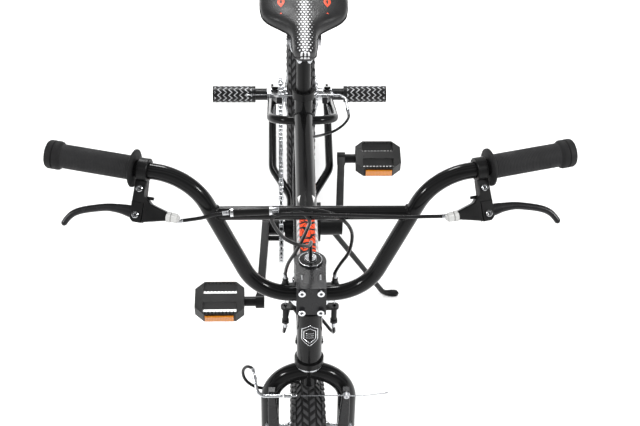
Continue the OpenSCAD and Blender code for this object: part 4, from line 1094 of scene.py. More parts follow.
@dataclass
class WheelTrim:
    """What a wheel has besides its rings: nipples at the rim and a tyre valve."""

    name: str
    body: str
    centre: Array
    rim_inner: float = 0.190
    spokes: int = 36

    def build(self) -> None:
        """Turns a small nipple at each spoke's end, and the valve with its cap."""
        piece = Piece(self.name)
        quarter = self.spokes // 4
        step = 2 * np.pi / quarter
        for side, lead in ((0, 0), (0, 1), (1, 0), (1, 1)):
            base = np.arange(quarter) * step + lead * step / 2 + side * step / 4
            for tip in base + math.radians(60 if lead == 0 else -60):
                way = np.array([math.cos(tip), 0, math.sin(tip)])
                y = 0.003 if side == 0 else -0.003
                start = self.centre + (self.rim_inner - 0.011) * way + np.array([0, y, 0])
                piece.grid(turned(start, way, [(0, 0.0011), (0.0005, 0.0016), (0.010, 0.0017),
                                               (0.0106, 0.0022), (0.012, 0.0022)], 10))
        piece.make(STEEL, self.body, "steel")
        way = np.array([math.cos(0.09), 0, math.sin(0.09)])
        Piece(self.name + "_valve").grid(turned(self.centre + (self.rim_inner + 0.002) * way, -way, [
            (0, 0.0042), (0.006, 0.0042), (0.009, 0.0034), (0.030, 0.0031), (0.0305, 0.0046),
            (0.042, 0.0042), (0.0435, 0.003)], 20)).make(MOULDED, self.body, "pedal_plastic")


@dataclass
class Handlebar:
    """The bar with its crossbar, its weld beads and its grips."""

    radius: float = 0.0111
    cross_radius: float = 0.0095
    cross_rise: float = 0.141
    bend: float = 0.072
    grip_radius: float = 0.0163
    collar_radius: float = 0.0195
    flange_radius: float = 0.0255

    def build(self) -> None:
        """Builds the bar and both grips."""
        self.bar()
        self.grips()

    def bar(self) -> None:
        """Sweeps the bar through its rounded corners, and the crossbar between its uprights."""
        p = PLACES
        end = p.grip_end - 0.004 * p.grip_way
        low = p.on_steer(p.stem_reach, p.bar_half_bottom, p.bar_height)
        corners = [end, p.bar_corner, low, flip(low), flip(p.bar_corner), flip(end)]
        path = evenly(rounded(corners, self.bend, 24), 0.003)
        piece = Piece("bar").grid(swept(path, self.radius, 40, p.steer_ahead))
        half = p.bar_half_bottom + (p.bar_half_top - p.bar_half_bottom) * self.cross_rise / p.bar_rise
        left = p.on_steer(p.stem_reach, half, p.bar_height + self.cross_rise)
        piece.grid(swept(np.linspace(left, flip(left), 60), self.cross_radius, 36, p.steer_ahead))
        beads = Welds(0.0019)
        for side in Side:
            upright = (low if side is Side.LEFT else flip(low),
                       (p.bar_corner - low) * [1, side.value, 1], self.radius)
            inward = np.array([0.0, -side.value, 0])
            line = seam(upright, (left * [1, side.value, 1], inward, self.cross_radius))
            beads.bead(piece, line)
        piece.make(ENAMEL, "steering", "bar_paint", ["handlebar"])

    def grips(self) -> None:
        """Turns each grip: a ribbed sleeve with a plain lip inside and a thick collar outside."""
        length = PLACES.grip_length
        height = np.arange(0.006, length - 0.022, 0.0004)
        rib = 0.00045 * np.abs(np.sin(height * math.pi / 0.0021))
        body = np.stack([height, self.grip_radius - 0.0003 + rib], axis=1)
        r, c, f = self.grip_radius, self.collar_radius, self.flange_radius
        outline = np.vstack([
            [(0, self.radius + 0.0002), (0, f - 0.0012), (0.0008, f), (0.0030, f), (0.0038, f - 0.0012),
             (0.0046, r + 0.0016), (0.0055, r)], body,
            [(length - 0.0215, r + 0.0002), (length - 0.019, c - 0.0006), (length - 0.017, c),
             (length - 0.0125, c), (length - 0.0117, c - 0.0012), (length - 0.0105, c - 0.0012),
             (length - 0.0097, c), (length - 0.003, c), (length - 0.0008, c - 0.0012),
             (length, c - 0.004), (length - 0.0004, c - 0.007), (length, 0.004)],
        ])
        piece = Piece("grip_pair")
        start = PLACES.grip_end - length * PLACES.grip_way
        for side in Side:
            sleeve = turned(start * [1, side.value, 1], PLACES.grip_way * [1, side.value, 1], outline, 64)
            band = (outline[:, 0] > 0.006) & (outline[:, 0] < length - 0.022)
            marks = np.zeros((*sleeve.shape[:2], 2))
            # the ribbed band is marked at 0.75, where the tread finish paints sheen
            marks[:, :, 1] = np.where(band, 0.75, 0.0)[:, None]
            piece.grid(sleeve, marks=marks)
        piece.make(GRIP, "steering", "grip", ["grips"])


@dataclass
class Levers:
    """The two brake levers: brackets with cheeks beside each blade, adjusters, blades and bolts."""

    thickness: float = 0.0046
    half_body: float = 0.007
    half_slot: float = 0.0029
    bar_radius: float = 0.0112
    clamp_radius: float = 0.0161

    def build(self) -> None:
        """Builds the brackets, the adjusters, both blades and the bolts."""
        self.brackets()
        self.adjusters()
        for side, node in ((Side.LEFT, "lever_left"), (Side.RIGHT, "lever_right")):
            self.blade(side, node)
        self.bolts()

    def brackets(self) -> None:
        """Each bracket is a clamp ring, a block to the adjuster, and two cheeks beside the blade."""
        axes, seat = PLACES.lever_frame()
        block = np.array([(-8, 14), (8, 14), (8.5, 44), (-8.5, 44), (-9, 69), (-41, 61.5), (-42, 50),
                          (-18, 43), (-9, 34)]) * MM
        cheek = np.array([(-9, 43), (8.5, 43), (7.5, 66), (3, 70), (-8.5, 70)]) * MM
        half, r = 0.007, self.clamp_radius
        ring = [(-half, r - 0.0008), (0.0008 - half, r), (half - 0.0008, r), (half, r - 0.0008),
                (half, self.bar_radius), (-half, self.bar_radius)]
        piece = Piece("lever_bracket_pair")
        for side in Side:
            mirror = np.array([1, side.value, 1])
            for outline, low, high, soft in (
                (block, -self.half_body, self.half_body, 0.0016),
                (cheek, self.half_slot, self.half_body, 0.0010),
                (cheek, -self.half_body, -self.half_slot, 0.0010),
            ):
                grid = plate(outline, low, high, soft, axes, seat) * mirror
                piece.grid(grid if side is Side.LEFT else grid[:, ::-1])
            piece.grid(turned(seat * mirror, axes[0] * mirror, ring, 48), Flow.RING)
        piece.make(FORGED, "steering", "black_parts", ["lever_brackets"])

    def adjusters(self) -> None:
        """Each adjuster is a ribbed white nut and a lock ring on the cable's line."""
        axes, seat = PLACES.lever_frame()
        turn = np.linspace(0, 2 * np.pi, 60, endpoint=False)
        rib = 1 + 0.05 * np.cos(turn * 12)
        outline = [(0.0410, 0.0048), (0.0410, 0.0064), (0.0416, 0.0070), (0.0462, 0.0070), (0.0468, 0.0064),
                   (0.0468, 0.0050), (0.0482, 0.0050), (0.0482, 0.0060), (0.0488, 0.0064), (0.0550, 0.0060),
                   (0.0556, 0.0052), (0.0556, 0.0040), (0.0580, 0.0038), (0.0580, 0.0027)]
        piece = Piece("adjuster_pair")
        for side in Side:
            mirror = np.array([1, side.value, 1])
            start = (seat + 0.056 * axes[1]) * mirror
            way = -axes[0] * mirror
            grid = turned(start, way, outline, 60)
            middle = start + np.array([h for h, _ in outline])[:, None, None] * way
            piece.grid(middle + (grid - middle) * rib[None, :, None])
        piece.make(WHITE, "steering", "adjuster", ["cable_adjusters"])

    def blade(self, side: Side, node: str) -> None:
        """Carries an oval along the blade's middle line; its ends round off like a half ball.

        Args:
            side: which side it is on.
            node: the node that it is shown in place of.
        """
        axes, seat = PLACES.lever_frame()
        middle = np.array([(-1, 62), (4, 58.5), (13, 56.8), (26, 56.2), (42, 57.2), (60, 61.6), (77, 67.2),
                           (88, 73.4), (95, 81.5), (100, 91.5)]) * MM
        half = np.array([6.4, 8.4, 8.0, 6.2, 5.2, 5.0, 4.8, 4.6, 4.3, 4.2]) * MM
        path = smooth(np.column_stack([middle, np.zeros(len(middle))]), 8)
        width = np.interp(np.linspace(0, 1, len(path)), np.linspace(0, 1, len(half)), half)
        far = np.concatenate([[0], np.cumsum(np.linalg.norm(np.diff(path, axis=0), axis=1))])
        for edge in (far, far[-1] - far):
            width = width * np.sqrt(np.clip(1 - (1 - np.clip(edge / 0.0045, 0, 1)) ** 2, 0.02, 1))
        world = (path @ axes + seat) * [1, side.value, 1]
        normal = axes[2] * [1, side.value, 1]
        grid = swept(world, width, 28, normal, np.minimum(self.thickness / width, 1.0) * 1.0)
        Piece(f"lever_blade_{side.name.lower()}").grid(grid).make(
            ANODISED, f"{side.name.lower()}_lever", "black_alloy", [node])

    def bolts(self) -> None:
        """A bolt head on each clamp and on each lever's pivot, and a small reach screw."""
        axes, seat = PLACES.lever_frame()
        head = [(0, 0.0046), (0.0024, 0.0046), (0.0030, 0.0040), (0.0030, 0.0024), (0.0014, 0.0021),
                (0.0014, 0.0002)]
        bright, dark = Piece("lever_bolts"), Piece("reach_screws")
        for side in Side:
            mirror = np.array([1, side.value, 1])
            for u, v, h in ((0, 25, 6.6), (0, 60, 6.8)):
                spot = seat + np.array([u, v, -h]) * MM @ axes
                bright.grid(turned(spot * mirror, -axes[2] * mirror, head, 24))
            spot = seat + np.array([-8, 36, 0]) * MM @ axes
            dark.grid(turned(spot * mirror, -axes[0] * mirror,
                             [(0, 0.0022), (0.011, 0.0022), (0.0116, 0.0017)], 16))
        bright.make(CHROME, "steering", "chrome")
        dark.make(FORGED, "steering", "black_parts")


@dataclass
class Brake:
    """One linear-pull brake: two arms with pads, the bent tube that leads the cable, and the wire."""

    name: str
    bodies: tuple[str, str]
    nodes: tuple[str, str]
    holder: str
    tube_side: Side
    top_y: float
    axle_ahead: float
    rear: bool
    plane: float = 0.024
    pivot_up: float = 0.176
    pivot_y: float = 0.052
    arm: float = 0.098
    pad_radius: float = 0.202
    rim_half: float = 0.016
    pad_gap: float = 0.003

    def at(self, ahead: float, y: float, up: float) -> Array:
        """A place in this brake's own frame: beside the steering axis, or beside the seat stays."""
        return PLACES.on_stay(ahead, y, up) if self.rear else PLACES.on_steer(ahead, y, up)

    @property
    def axes(self) -> Array:
        """The frame's three directions: ahead, left and up."""
        zero = self.at(0, 0, 0)
        return np.stack([self.at(1, 0, 0) - zero, self.at(0, 1, 0) - zero, self.at(0, 0, 1) - zero])

    def build(self) -> None:
        """Builds both arms with what each carries, then the wire between them."""
        for side, body, node in zip(Side, self.bodies, self.nodes):
            self.arm_with_pad(side, body, node)
        self.leader()
        self.wire()

    def arm_with_pad(self, side: Side, body: str, node: str) -> None:
        """An arm as a softened plate, the pad as a softened bar along the rim, and bright bolts.

        Args:
            side: which side of the wheel.
            body: the body that it rides on.
            node: the node that it is shown in place of.
        """
        sign = side.value
        axes, zero = self.axes, self.at(0, 0, 0)
        y0, y1, s0, s1 = self.pivot_y, self.top_y, self.pivot_up, self.pivot_up + self.arm + 0.006
        t = np.linspace(0, 1, 12)
        outer = np.stack([y0 + (y1 - y0) * t + 0.0085 - 0.0035 * t + 0.002 * np.sin(np.pi * t),
                          s0 + (s1 - s0) * t], 1)
        inner = np.stack([y0 + (y1 - y0) * t - 0.0085 + 0.0035 * t, s0 + (s1 - s0) * t], 1)[::-1]
        turn = np.linspace(math.pi, 2 * math.pi, 13)[1:-1]
        foot = np.stack([y0 + 0.0085 * np.cos(turn), s0 + 0.0085 * np.sin(turn)], axis=1)
        outline = np.vstack([foot, outer, inner])
        plane = np.stack([axes[1] * sign, axes[2], axes[0]])
        grid = plate(outline, self.plane - 0.006, self.plane + 0.006, 0.0012, plane, zero)
        arm = Piece(f"{self.name}_arm_{side.name.lower()}").grid(grid if sign > 0 else grid[:, ::-1])
        arm.grid(turned(self.at(self.plane - 0.008, sign * y0, s0), axes[0], [
            (0, 0.0078), (0.0008, 0.0086), (0.0152, 0.0086), (0.016, 0.0078)], 36))
        arm.make(ANODISED, body, "black_alloy", [node])
        up = math.sqrt(self.pad_radius**2 - (self.plane - self.axle_ahead) ** 2)
        lean = math.atan2(self.plane - self.axle_ahead, up)
        along = math.cos(lean) * axes[0] - math.sin(lean) * axes[2]
        face = self.at(self.plane, sign * (self.rim_half + self.pad_gap), up)
        reach = np.linspace(-0.027, 0.027, 25)
        bow = self.pad_radius - np.sqrt(self.pad_radius**2 - reach**2)
        line = face + reach[:, None] * along + np.outer(-bow, np.cross(axes[1], along) * -1.0)
        line = line + sign * 0.0047 * axes[1]
        width = 0.0047 * np.sqrt(np.clip(1 - (np.abs(reach) / 0.0275) ** 8, 0.05, 1))
        post_y = self.pivot_y + (self.top_y - self.pivot_y) * (up - self.pivot_up) / self.arm
        Piece(f"{self.name}_pad_{side.name.lower()}").grid(swept(line, width, 24, axes[1], 0.97)).make(
            MOULDED, body, "pedal_plastic")
        spot = self.at(self.plane, sign * (self.rim_half + self.pad_gap + 0.008), up)
        out = sign * axes[1]
        reach_out = post_y - self.rim_half - self.pad_gap
        bolts = Piece(f"{self.name}_bolts_{side.name.lower()}")
        bolts.grid(turned(spot, out, [(0, 0.006), (0.003, 0.006), (0.005, 0.0045), (0.0055, 0.003),
                                      (reach_out + 0.0005, 0.003), (reach_out + 0.0005, 0.0062),
                                      (reach_out + 0.0045, 0.0062), (reach_out + 0.0048, 0.003),
                                      (reach_out + 0.007, 0.003)], 24))
        if side is not self.tube_side:
            head = self.at(self.plane + 0.0062, sign * self.top_y, self.pivot_up + self.arm)
            bolts.grid(turned(head, axes[0], [
                (0, 0.0055), (0.0012, 0.0055), (0.0014, 0.0044), (0.0050, 0.0044), (0.0056, 0.0038),
                (0.0056, 0.0018), (0.004, 0.0002)], 24))
        bolts.make(STEEL, body, "steel")

    def leader(self) -> None:
        """The bright bent tube that leads the cable in from the side, with a bright end sleeve."""
        sign, lift = self.tube_side.value, self.plane + 0.009
        up = self.pivot_up + self.arm + 0.001
        if self.rear:
            corners = [(lift, 0.028, up), (lift, 0.082, up), (self.plane - 0.016, 0.086, up + 0.030)]
        else:
            corners = [(lift, 0.040, up), (lift, 0.078, up), (0.006, 0.084, up + 0.017)]
        path = evenly(rounded([self.at(a, sign * y, s) for a, y, s in corners], 0.015, 14), 0.0015)
        body = self.bodies[0] if self.tube_side is Side.LEFT else self.bodies[1]
        lifted = self.axes[2] + self.axes[1] * 0.01
        piece = Piece(f"{self.name}_leader").grid(swept(path, 0.0026, 20, lifted))
        way = unit(path[-1] - path[-3])
        collar = [(0, 0.0028), (0.0005, 0.0036), (0.0062, 0.0036)]
        piece.grid(turned(path[-1] - 0.006 * way, way, collar, 20))
        piece.make(STEEL, body, "steel")
        start = self.at(lift, sign * (corners[0][1] - 0.001), up)
        Piece(f"{self.name}_leader_end").grid(turned(start, -sign * self.axes[1], [
            (0, 0.0030), (0.0004, 0.0036), (0.012, 0.0036), (0.0124, 0.0028), (0.020, 0.0024),
            (0.0206, 0.0014)], 24)).make(ALLOY, body, "alloy")

    def wire(self) -> None:
        """The bare wire between the arms, with its cut end standing out beyond the clamp."""
        sign, lift = self.tube_side.value, self.plane + 0.009
        up = self.pivot_up + self.arm + 0.001
        start, clamp = self.at(lift, sign * 0.012, up), self.at(lift, -sign * (self.top_y - 0.004), up)
        tail = [self.at(lift + 0.002, -sign * (self.top_y + d), up + u) for d, u in (
            (0.008, 0.001), (0.030, 0.002), (0.056, 0.006))]
        path = smooth([start, self.at(lift, -sign * 0.01, up), clamp, *tail], 10)
        piece = Piece(f"{self.name}_wire").grid(swept(path, 0.0008, 8, self.axes[2]))
        way = unit(path[-1] - path[-2])
        piece.grid(turned(path[-1] - 0.001 * way, way, [(0, 0.0012), (0.008, 0.0013), (0.009, 0.0008)], 12))
        piece.make(STEEL, self.holder, "steel")


@dataclass
class Cables:
    """The cable housings from the levers through the rotor to both brakes, each a smooth cord."""

    radius: float = 0.0025

    def build(self) -> None:
        """Builds every run of housing and the two splitter sleeves."""
        p = PLACES
        def steer(points: Sequence[tuple[float, float, float]]) -> list[Array]:
            """Places in millimetres beside the steering axis."""
            return [p.on_steer(a * MM, y * MM, s * MM) for a, y, s in points]

        def plain(points: Sequence[tuple[float, float, float]]) -> list[Array]:
            """Places in millimetres in the bicycle's frame."""
            return [np.array(q) * MM for q in points]

        front = plain([
            (333, 181, 884), (332, 150, 882), (331, 116, 880), (331, 63, 883), (331, 23, 885),
            (331, -17, 888), (331, -42, 887), (331, -54, 879), (332, -51, 862), (328, -38, 830),
            (323, -20, 808), (311, -5, 788), (298, 0, 778)])
        front += steer([(0, 0, s) for s in (545, 530, 500, 440, 340, 300, 284, 272)])
        front += steer([(-6, -9, 264), (-12, -24, 262), (-18, -36, 258), (-25, -48, 244), (-26, -64, 234),
                        (-24, -84, 240), (-22, -98, 256), (-20, -102, 276), (-14, -96, 292),
                        (-4, -87, 298), (4, -84.4, 293.4)])
        single = plain([(333, -181, 875), (330, -150, 878), (326, -128, 881), (325, -111, 883)])
        left = plain([(325, -54, 889.4), (325, -30, 891), (325, -4, 889), (325, 23, 881), (327, 44, 864),
                      (319, 55, 826), (315, 53, 780), (309, 42, 740)]) + steer([
                          (0, 36, 490.2), (0, 36, 480.2)])
        right = plain([(325, -54, 883.6), (325, -30, 884), (325, -12, 880), (327, -4, 866), (320, -6, 842),
                       (314, -13, 806), (311, -21, 776), (308, -32, 742)]) + steer([
                           (0, -36, 490.2), (0, -36, 480.2)])
        low_left = steer([(0, 36, 395.8), (0, 36, 387.8)]) + plain([
            (334, 37, 600), (321, 34, 582), (300, 24, 573), (280, 8, 577), (262, -9, 590),
            (249, -17.2, 601.2)])
        low_right = steer([(0, -36, 395.8), (0, -36, 387.8)]) + plain([
            (333, -38, 600), (321, -38, 584), (300, -35, 578), (280, -30, 585), (262, -26, 597),
            (249, -23, 607)])
        rear = plain([(240, -20, 607), (180, -19, 592), (100, -19, 573), (20, -19, 554), (-60, -17.5, 534),
                      (-105, -14, 517), (-135, 2, 503), (-153, 20, 487)])
        rear += [p.on_stay(a * MM, y * MM, s * MM) for a, y, s in (
            (-27, 36, 371), (-23, 58, 352), (-14, 76, 334), (-3, 86.4, 318), (6.7, 86.2, 306.6))]
        self.run("front_housing", front, "steering", ["front_cable"])
        self.run("rear_housing_lever", single, "steering", ["rear_upper_cable"])
        self.run("rear_housing_upper_left", left, "steering")
        self.run("rear_housing_upper_right", right, "steering")
        self.run("rear_housing_lower_left", low_left, "frame", ["rear_lower_cable"])
        self.run("rear_housing_lower_right", low_right, "frame")
        self.run("rear_housing", rear, "frame")
        self.sleeve("upper_splitter", np.array([0.325, -0.110, 0.883]),
                    np.array([0.325, -0.053, 0.8867]), 0.0052, "steering")
        self.sleeve("lower_splitter", np.array([0.2495, -0.020, 0.6037]),
                    np.array([0.240, -0.020, 0.6068]), 0.0062, "frame")

    def run(self, name: str, points: Sequence[Array], body: str, stands_for: Sequence[str] = ()) -> None:
        """One stretch of housing with a bright cap on each end.

        Args:
            name: the piece's name.
            points: the points that it passes.
            body: the body that it rides on.
            stands_for: nodes that it is shown in place of.
        """
        path = evenly(smooth(points, 12), 0.0025)
        ref = (0.12, 0.23, 1.0) if abs(points[0][1]) > 0.1 or len(points) < 9 else (0.35, 1.0, 0.2)
        piece = Piece(name).grid(swept(path, self.radius, 16, ref))
        obj = piece.make(JACKET, body, "cable", stands_for)
        caps = Piece(name + "_caps")
        for end, inward in ((path[0], path[2] - path[0]), (path[-1], path[-3] - path[-1])):
            caps.grid(turned(end, inward, [(0.0002, 0.0027), (0.0002, 0.0029), (0.0085, 0.0029),
                                           (0.009, 0.0026)], 18))
        held = caps.make(STEEL, body, "steel")

    def sleeve(self, name: str, start: Array, end: Array, radius: float, body: str) -> None:
        """The black sleeve where one cable becomes two, with a bright ferrule at each end."""
        way, far = end - start, float(np.linalg.norm(end - start))
        Piece(name).grid(turned(start, way, [(0, radius - 0.0008), (0.0008, radius), (far - 0.0008, radius),
                                             (far, radius - 0.0008)], 28)).make(MOULDED, body, "cable")
        band = [(0, radius + 0.0001), (0.0003, radius + 0.0006), (0.0042, radius + 0.0006), (0.0045, radius)]
        piece = Piece(name + "_ferrules").grid(turned(start + 0.0004 * unit(way), way, band, 28))
        piece.grid(turned(end - 0.0004 * unit(way), -way, band, 28))
        piece.make(CHROME, body, "chrome")


@dataclass
class Saddle:
    """The padded saddle: a long closed form, narrow at the nose and wide at the tail, with piping."""

    nose_x: float = -0.1375
    tail_x: float = -0.3790
    top: float = 0.7195
    depth: float = 0.044

    def half_width(self, t: Array) -> Array:
        """Half the width at a share of the length from the nose, as a smooth line through chosen widths."""
        return np.interp(t, [0, 0.05, 0.15, 0.25, 0.30, 0.35, 0.40, 0.46, 0.55, 0.85, 0.95, 1.0],
                         np.array([13, 19, 21, 22, 28, 46, 63, 73, 76.5, 77, 74, 64]) * MM)

    def build(self) -> None:
        """Builds the cover from rings across its length.

        Each ring is a squared-off oval: its top is the crown, its bottom is nearly flat, and at
        the nose and tail the rings shrink like a quarter circle so that the form closes.
        """
        t = (1 - np.cos(np.linspace(0, np.pi, 60))) / 2
        window = np.hanning(19) / np.hanning(19).sum()
        dense = np.linspace(0, 1, 240)
        soft = np.convolve(np.pad(self.half_width(dense), 9, mode="edge"), window, "valid")
        close = np.sqrt(np.clip(1 - np.clip(1 - t / 0.07, 0, 1) ** 2, 0.0004, 1))
        close = close * np.sqrt(np.clip(1 - np.clip(1 - (1 - t) / 0.10, 0, 1) ** 2, 0.0004, 1))
        half = np.interp(t, dense, soft) * (0.25 + 0.75 * close)
        crown = self.top - 0.005 * np.sin(np.pi * t) ** 2 - 0.004 * (1 - t) ** 3
        depth = (0.032 + (self.depth - 0.032) * t) * (0.15 + 0.85 * close)
        turn = np.linspace(0, 2 * np.pi, 48, endpoint=False)
        c, s = np.cos(turn), np.sin(turn)
        bulge = np.sign(c) * np.abs(c) ** 0.72
        rise = np.where(s > 0, np.abs(s) ** 0.85, -np.abs(s) ** 0.6)
        middle = crown - depth * 0.52 * 1.0
        x = self.nose_x + (self.tail_x - self.nose_x) * t
        scoop = 0.0025 * np.exp(-(c / 0.25) ** 2) * (s > 0)
        z = middle[:, None] + rise[None] * depth[:, None] * np.where(s > 0, 0.52, 0.46)[None] \
            - scoop[None] * t[:, None] ** 2
        grid = np.stack([np.broadcast_to(x[:, None], z.shape), half[:, None] * bulge[None], z], axis=-1)
        cover = Piece("saddle_cover").grid(grid[:, ::-1])
        obj = cover.make(SADDLE, "frame", "saddle", ["saddle"], crease=60)
        refine = obj.modifiers.new("smooth", "SUBSURF")
        refine.levels = refine.render_levels = 1
        edge = np.stack([x, half * 1.0, middle - 0.006 * close], axis=1)[2:-2]
        line = evenly(np.vstack([edge, flip(edge)[::-1], edge[:1]]), 0.003)[:-1]
        Piece("saddle_piping").grid(swept(line, 0.0011, 8, (0, 0, 1), closed=True), Flow.RING).make(
            MOULDED, "frame", "saddle")


@dataclass
class Stand:
    """The kickstand's leg: a round bar that bends outwards and flattens into a toe."""

    radius: float = 0.0055

    def build(self) -> None:
        """Carries an oval along the leg; towards the toe it grows wider and flatter."""
        bb = np.array(PLACES.bracket)
        pivot, foot, toe = bb + [-0.030, 0.046, -0.026], np.array([bb[0] - 0.036, 0.176, 0.0055]), \
            np.array([bb[0] - 0.036, 0.208, 0.0045])
        way = unit(foot - pivot)
        folded = unit(np.array([-0.985, 0.17, -0.03]))
        axis = unit(np.cross(way, folded))
        path = evenly(rounded([pivot + 0.004 * way, foot, toe], 0.020, 14), 0.003)
        share = np.linspace(0, 1, len(path))
        wide = self.radius * (1 + 0.55 * np.clip((share - 0.90) / 0.05, 0, 1))
        flat = 1 - 0.50 * np.clip((share - 0.90) / 0.05, 0, 1)
        end = np.sqrt(np.clip(1 - np.clip((share - 0.975) / 0.025, 0, 1) ** 2, 0.03, 1))
        grid = swept(path, wide * end, 24, np.cross([1.0, 0, 0], way), flat)
        Piece("stand_leg").grid(grid).grid(turned(pivot - 0.0057 * axis, axis, [
            (0, 0.0092), (0.0008, 0.0100), (0.0106, 0.0100), (0.0114, 0.0092)], 40)).make(
            FORGED, "stand", "black_parts", ["kickstand"])
        Piece("stand_bolt").grid(turned(pivot + 0.0060 * axis, axis, [
            (0, 0.0075), (0.0012, 0.0075), (0.0012, 0.0058), (0.0052, 0.0058), (0.0060, 0.005)], 6)).make(
            STEEL, "frame", "steel")


@dataclass
class PedalTrim:
    """Rows of small gripping teeth along both long rails of each pedal, above and below."""

    pedal_y: float = 0.1535
    crank: float = 0.170
    half_length: float = 0.0355
    half_height: float = 0.012

    def build(self) -> None:
        """Lays a row of short pointed blocks on each rail."""
        bb = np.array(PLACES.bracket)
        faces = [(0, 1, 5, 4), (1, 2, 6, 5), (2, 3, 7, 6), (3, 0, 4, 7), (4, 5, 6, 7)]
        for side, sign in (("right", 1), ("left", -1)):
            centre = bb + np.array([sign * self.crank, -sign * self.pedal_y, 0])
            piece = Piece(f"pedal_teeth_{side}")
            y = np.linspace(-0.026, 0.026, 9)
            for end in (-1, 1):
                for face in (-1, 1):
                    base = np.array([(-2.2, -1.6, 0), (2.2, -1.6, 0), (2.2, 1.6, 0), (-2.2, 1.6, 0),
                                     (-1.2, -0.8, 2.2), (1.2, -0.8, 2.2), (1.2, 0.8, 2.2),
                                     (-1.2, 0.8, 2.2)]) * MM
                    spot = np.array([end * (self.half_length - 0.0034), 0,
                                     face * (self.half_height - 0.0002)])
                    corners = base * [1, 1, face] + spot + centre
                    rows = corners[None] + np.stack([0 * y, y, 0 * y], axis=1)[:, None]
                    piece.blocks(rows, faces if face > 0 else [f[::-1] for f in faces])
            piece.make(MOULDED, f"{side}_pedal", "pedal_plastic", crease=20)


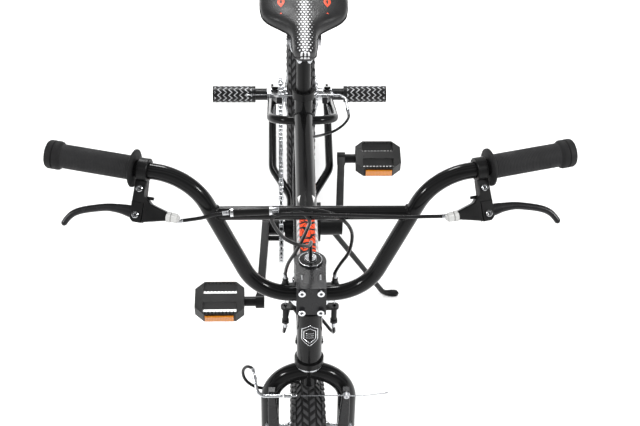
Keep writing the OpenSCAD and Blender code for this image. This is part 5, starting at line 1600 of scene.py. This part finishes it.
@dataclass
class Studio:
    """Floor, soft lights and the camera."""

    eye: tuple[float, float, float] = (1.3312, -0.0456, 2.1921)
    right: tuple[float, float, float] = (0.0236, 0.9994, 0.0240)
    down: tuple[float, float, float] = (0.7931, -0.0041, -0.6091)
    view: tuple[float, float, float] = (-0.6087, 0.0334, -0.7927)
    lens: float = 69.9

    def build(self) -> None:
        """Sets the floor, the sky, the lights and the camera."""
        bpy.context.scene.view_settings.view_transform = "Standard"
        self.floor()
        self.sky()
        self.lamp("key", (0.9, 2.6, 2.6), (0.1, 0, 0.5), 0.6, 55)
        self.lamp("fill", (0.9, -2.6, 2.4), (0.1, 0, 0.5), 0.5, 38)
        self.lamp("back", (-2.4, -0.3, 2.6), (-0.1, 0, 0.4), 0.8, 50)
        self.camera()

    def floor(self) -> None:
        """A wide pale floor."""
        mesh = bpy.data.meshes.new("floor")
        corner = np.array([(-1, -1, 0), (1, -1, 0), (1, 1, 0), (-1, 1, 0)], float) * 12
        mesh.from_pydata(corner.tolist(), [], [(0, 1, 2, 3)])
        graph = Graph("pale_floor")
        tone = graph.between(graph.noise(graph.place(), 3.0), 0.3, 0.7)
        graph.set(base_color=graph.blend(tone, (0.86, 0.86, 0.86), (0.88, 0.88, 0.88)), roughness=0.9)
        mesh.materials.append(graph.material)
        obj = bpy.data.objects.new("floor", mesh)
        bpy.context.scene.collection.objects.link(obj)

    def sky(self) -> None:
        """An even white surround, which shiny surfaces mirror as soft bright and dark bands instead."""
        world = bpy.data.worlds.new("surround")
        world.use_nodes = True
        tree = world.node_tree
        even = tree.nodes["Background"]
        even.inputs[0].default_value, even.inputs[1].default_value = (1, 1, 1, 1), 1.22
        bands = tree.nodes.new("ShaderNodeBackground")
        wave = tree.nodes.new("ShaderNodeTexWave")
        wave.inputs["Scale"].default_value, wave.inputs["Distortion"].default_value = 0.55, 3.0
        ramp = tree.nodes.new("ShaderNodeMapRange")
        ramp.inputs[1].default_value, ramp.inputs[2].default_value = 0.35, 0.75
        ramp.inputs[3].default_value, ramp.inputs[4].default_value = 0.04, 0.85
        path, mix = tree.nodes.new("ShaderNodeLightPath"), tree.nodes.new("ShaderNodeMixShader")
        tree.links.new(wave.outputs[1], ramp.inputs[0])
        tree.links.new(ramp.outputs[0], bands.inputs[1])
        tree.links.new(path.outputs["Is Glossy Ray"], mix.inputs[0])
        tree.links.new(even.outputs[0], mix.inputs[1])
        tree.links.new(bands.outputs[0], mix.inputs[2])
        tree.links.new(mix.outputs[0], tree.nodes["World Output"].inputs[0])
        bpy.context.scene.world = world

    def lamp(self, name: str, spot: tuple[float, float, float], aim: tuple[float, float, float],
             size: float, power: float) -> None:
        """A square area light of that size and power, turned to face its aim."""
        light = bpy.data.lights.new(name, "AREA")
        light.size, light.energy = size, power
        obj = bpy.data.objects.new(name, light)
        back = unit(np.array(spot) - np.array(aim))
        side = unit(np.cross([0, 0, 1.0], back))
        up = np.cross(back, side)
        obj.matrix_world = Matrix([[side[k], up[k], back[k], spot[k]] for k in range(3)] + [[0, 0, 0, 1]])
        bpy.context.scene.collection.objects.link(obj)

    def camera(self) -> None:
        """The camera, from its place and its three directions."""
        data = bpy.data.cameras.new("camera")
        data.sensor_width, data.lens, data.clip_start, data.clip_end = 36.0, self.lens, 0.05, 60.0
        obj = bpy.data.objects.new("camera", data)
        right, up, back = np.array(self.right), -np.array(self.down), -np.array(self.view)
        rows = [[right[k], up[k], back[k], self.eye[k]] for k in range(3)]
        obj.matrix_world = Matrix(rows + [[0, 0, 0, 1]])
        bpy.context.scene.collection.objects.link(obj)
        bpy.context.scene.camera = obj


def dress_nodes() -> None:
    """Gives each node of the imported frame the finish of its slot."""
    slots = {row["node"]: row["material_slot"] for row in frame["record"]["subparts"]}
    special: dict[str, Finish] = {"front_rim": FRONT_RIM, "rear_rim": REAR_RIM, "stem_cap": CAP}
    for name, obj in frame["nodes"].items():
        finish = special.get(name, BY_SLOT[slots[name]])
        obj.data.materials.clear()
        obj.data.materials.append(finish.material())
    log.info("dressed %d nodes", len(frame["nodes"]))


def main() -> None:
    """Builds the bicycle's pieces in order, then the studio."""
    logging.basicConfig(level=logging.INFO, format="%(name)s %(message)s")
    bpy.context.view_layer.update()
    dress_nodes()
    FrameTubes().build()
    for name, body, node, centre in (
        ("front_tyre_tread", "front_wheel", "front_tyre", PLACES.front),
        ("rear_tyre_tread", "rear_wheel", "rear_tyre", PLACES.rear),
    ):
        Tyre(name, body, node, centre).build()
        WheelTrim(body + "_trim", body, centre).build()
    Handlebar().build()
    Levers().build()
    Brake("front_brake", ("front_left_arm", "front_right_arm"), ("front_arm_left", "front_arm_right"),
          "steering", Side.RIGHT, 0.057, 0.035, False).build()
    Brake("rear_brake", ("rear_left_arm", "rear_right_arm"), ("rear_arm_left", "rear_arm_right"),
          "frame", Side.LEFT, 0.043, 0.0, True).build()
    Cables().build()
    Saddle().build()
    Stand().build()
    PedalTrim().build()
    Studio().build()


if __name__ == "__main__":
    main()
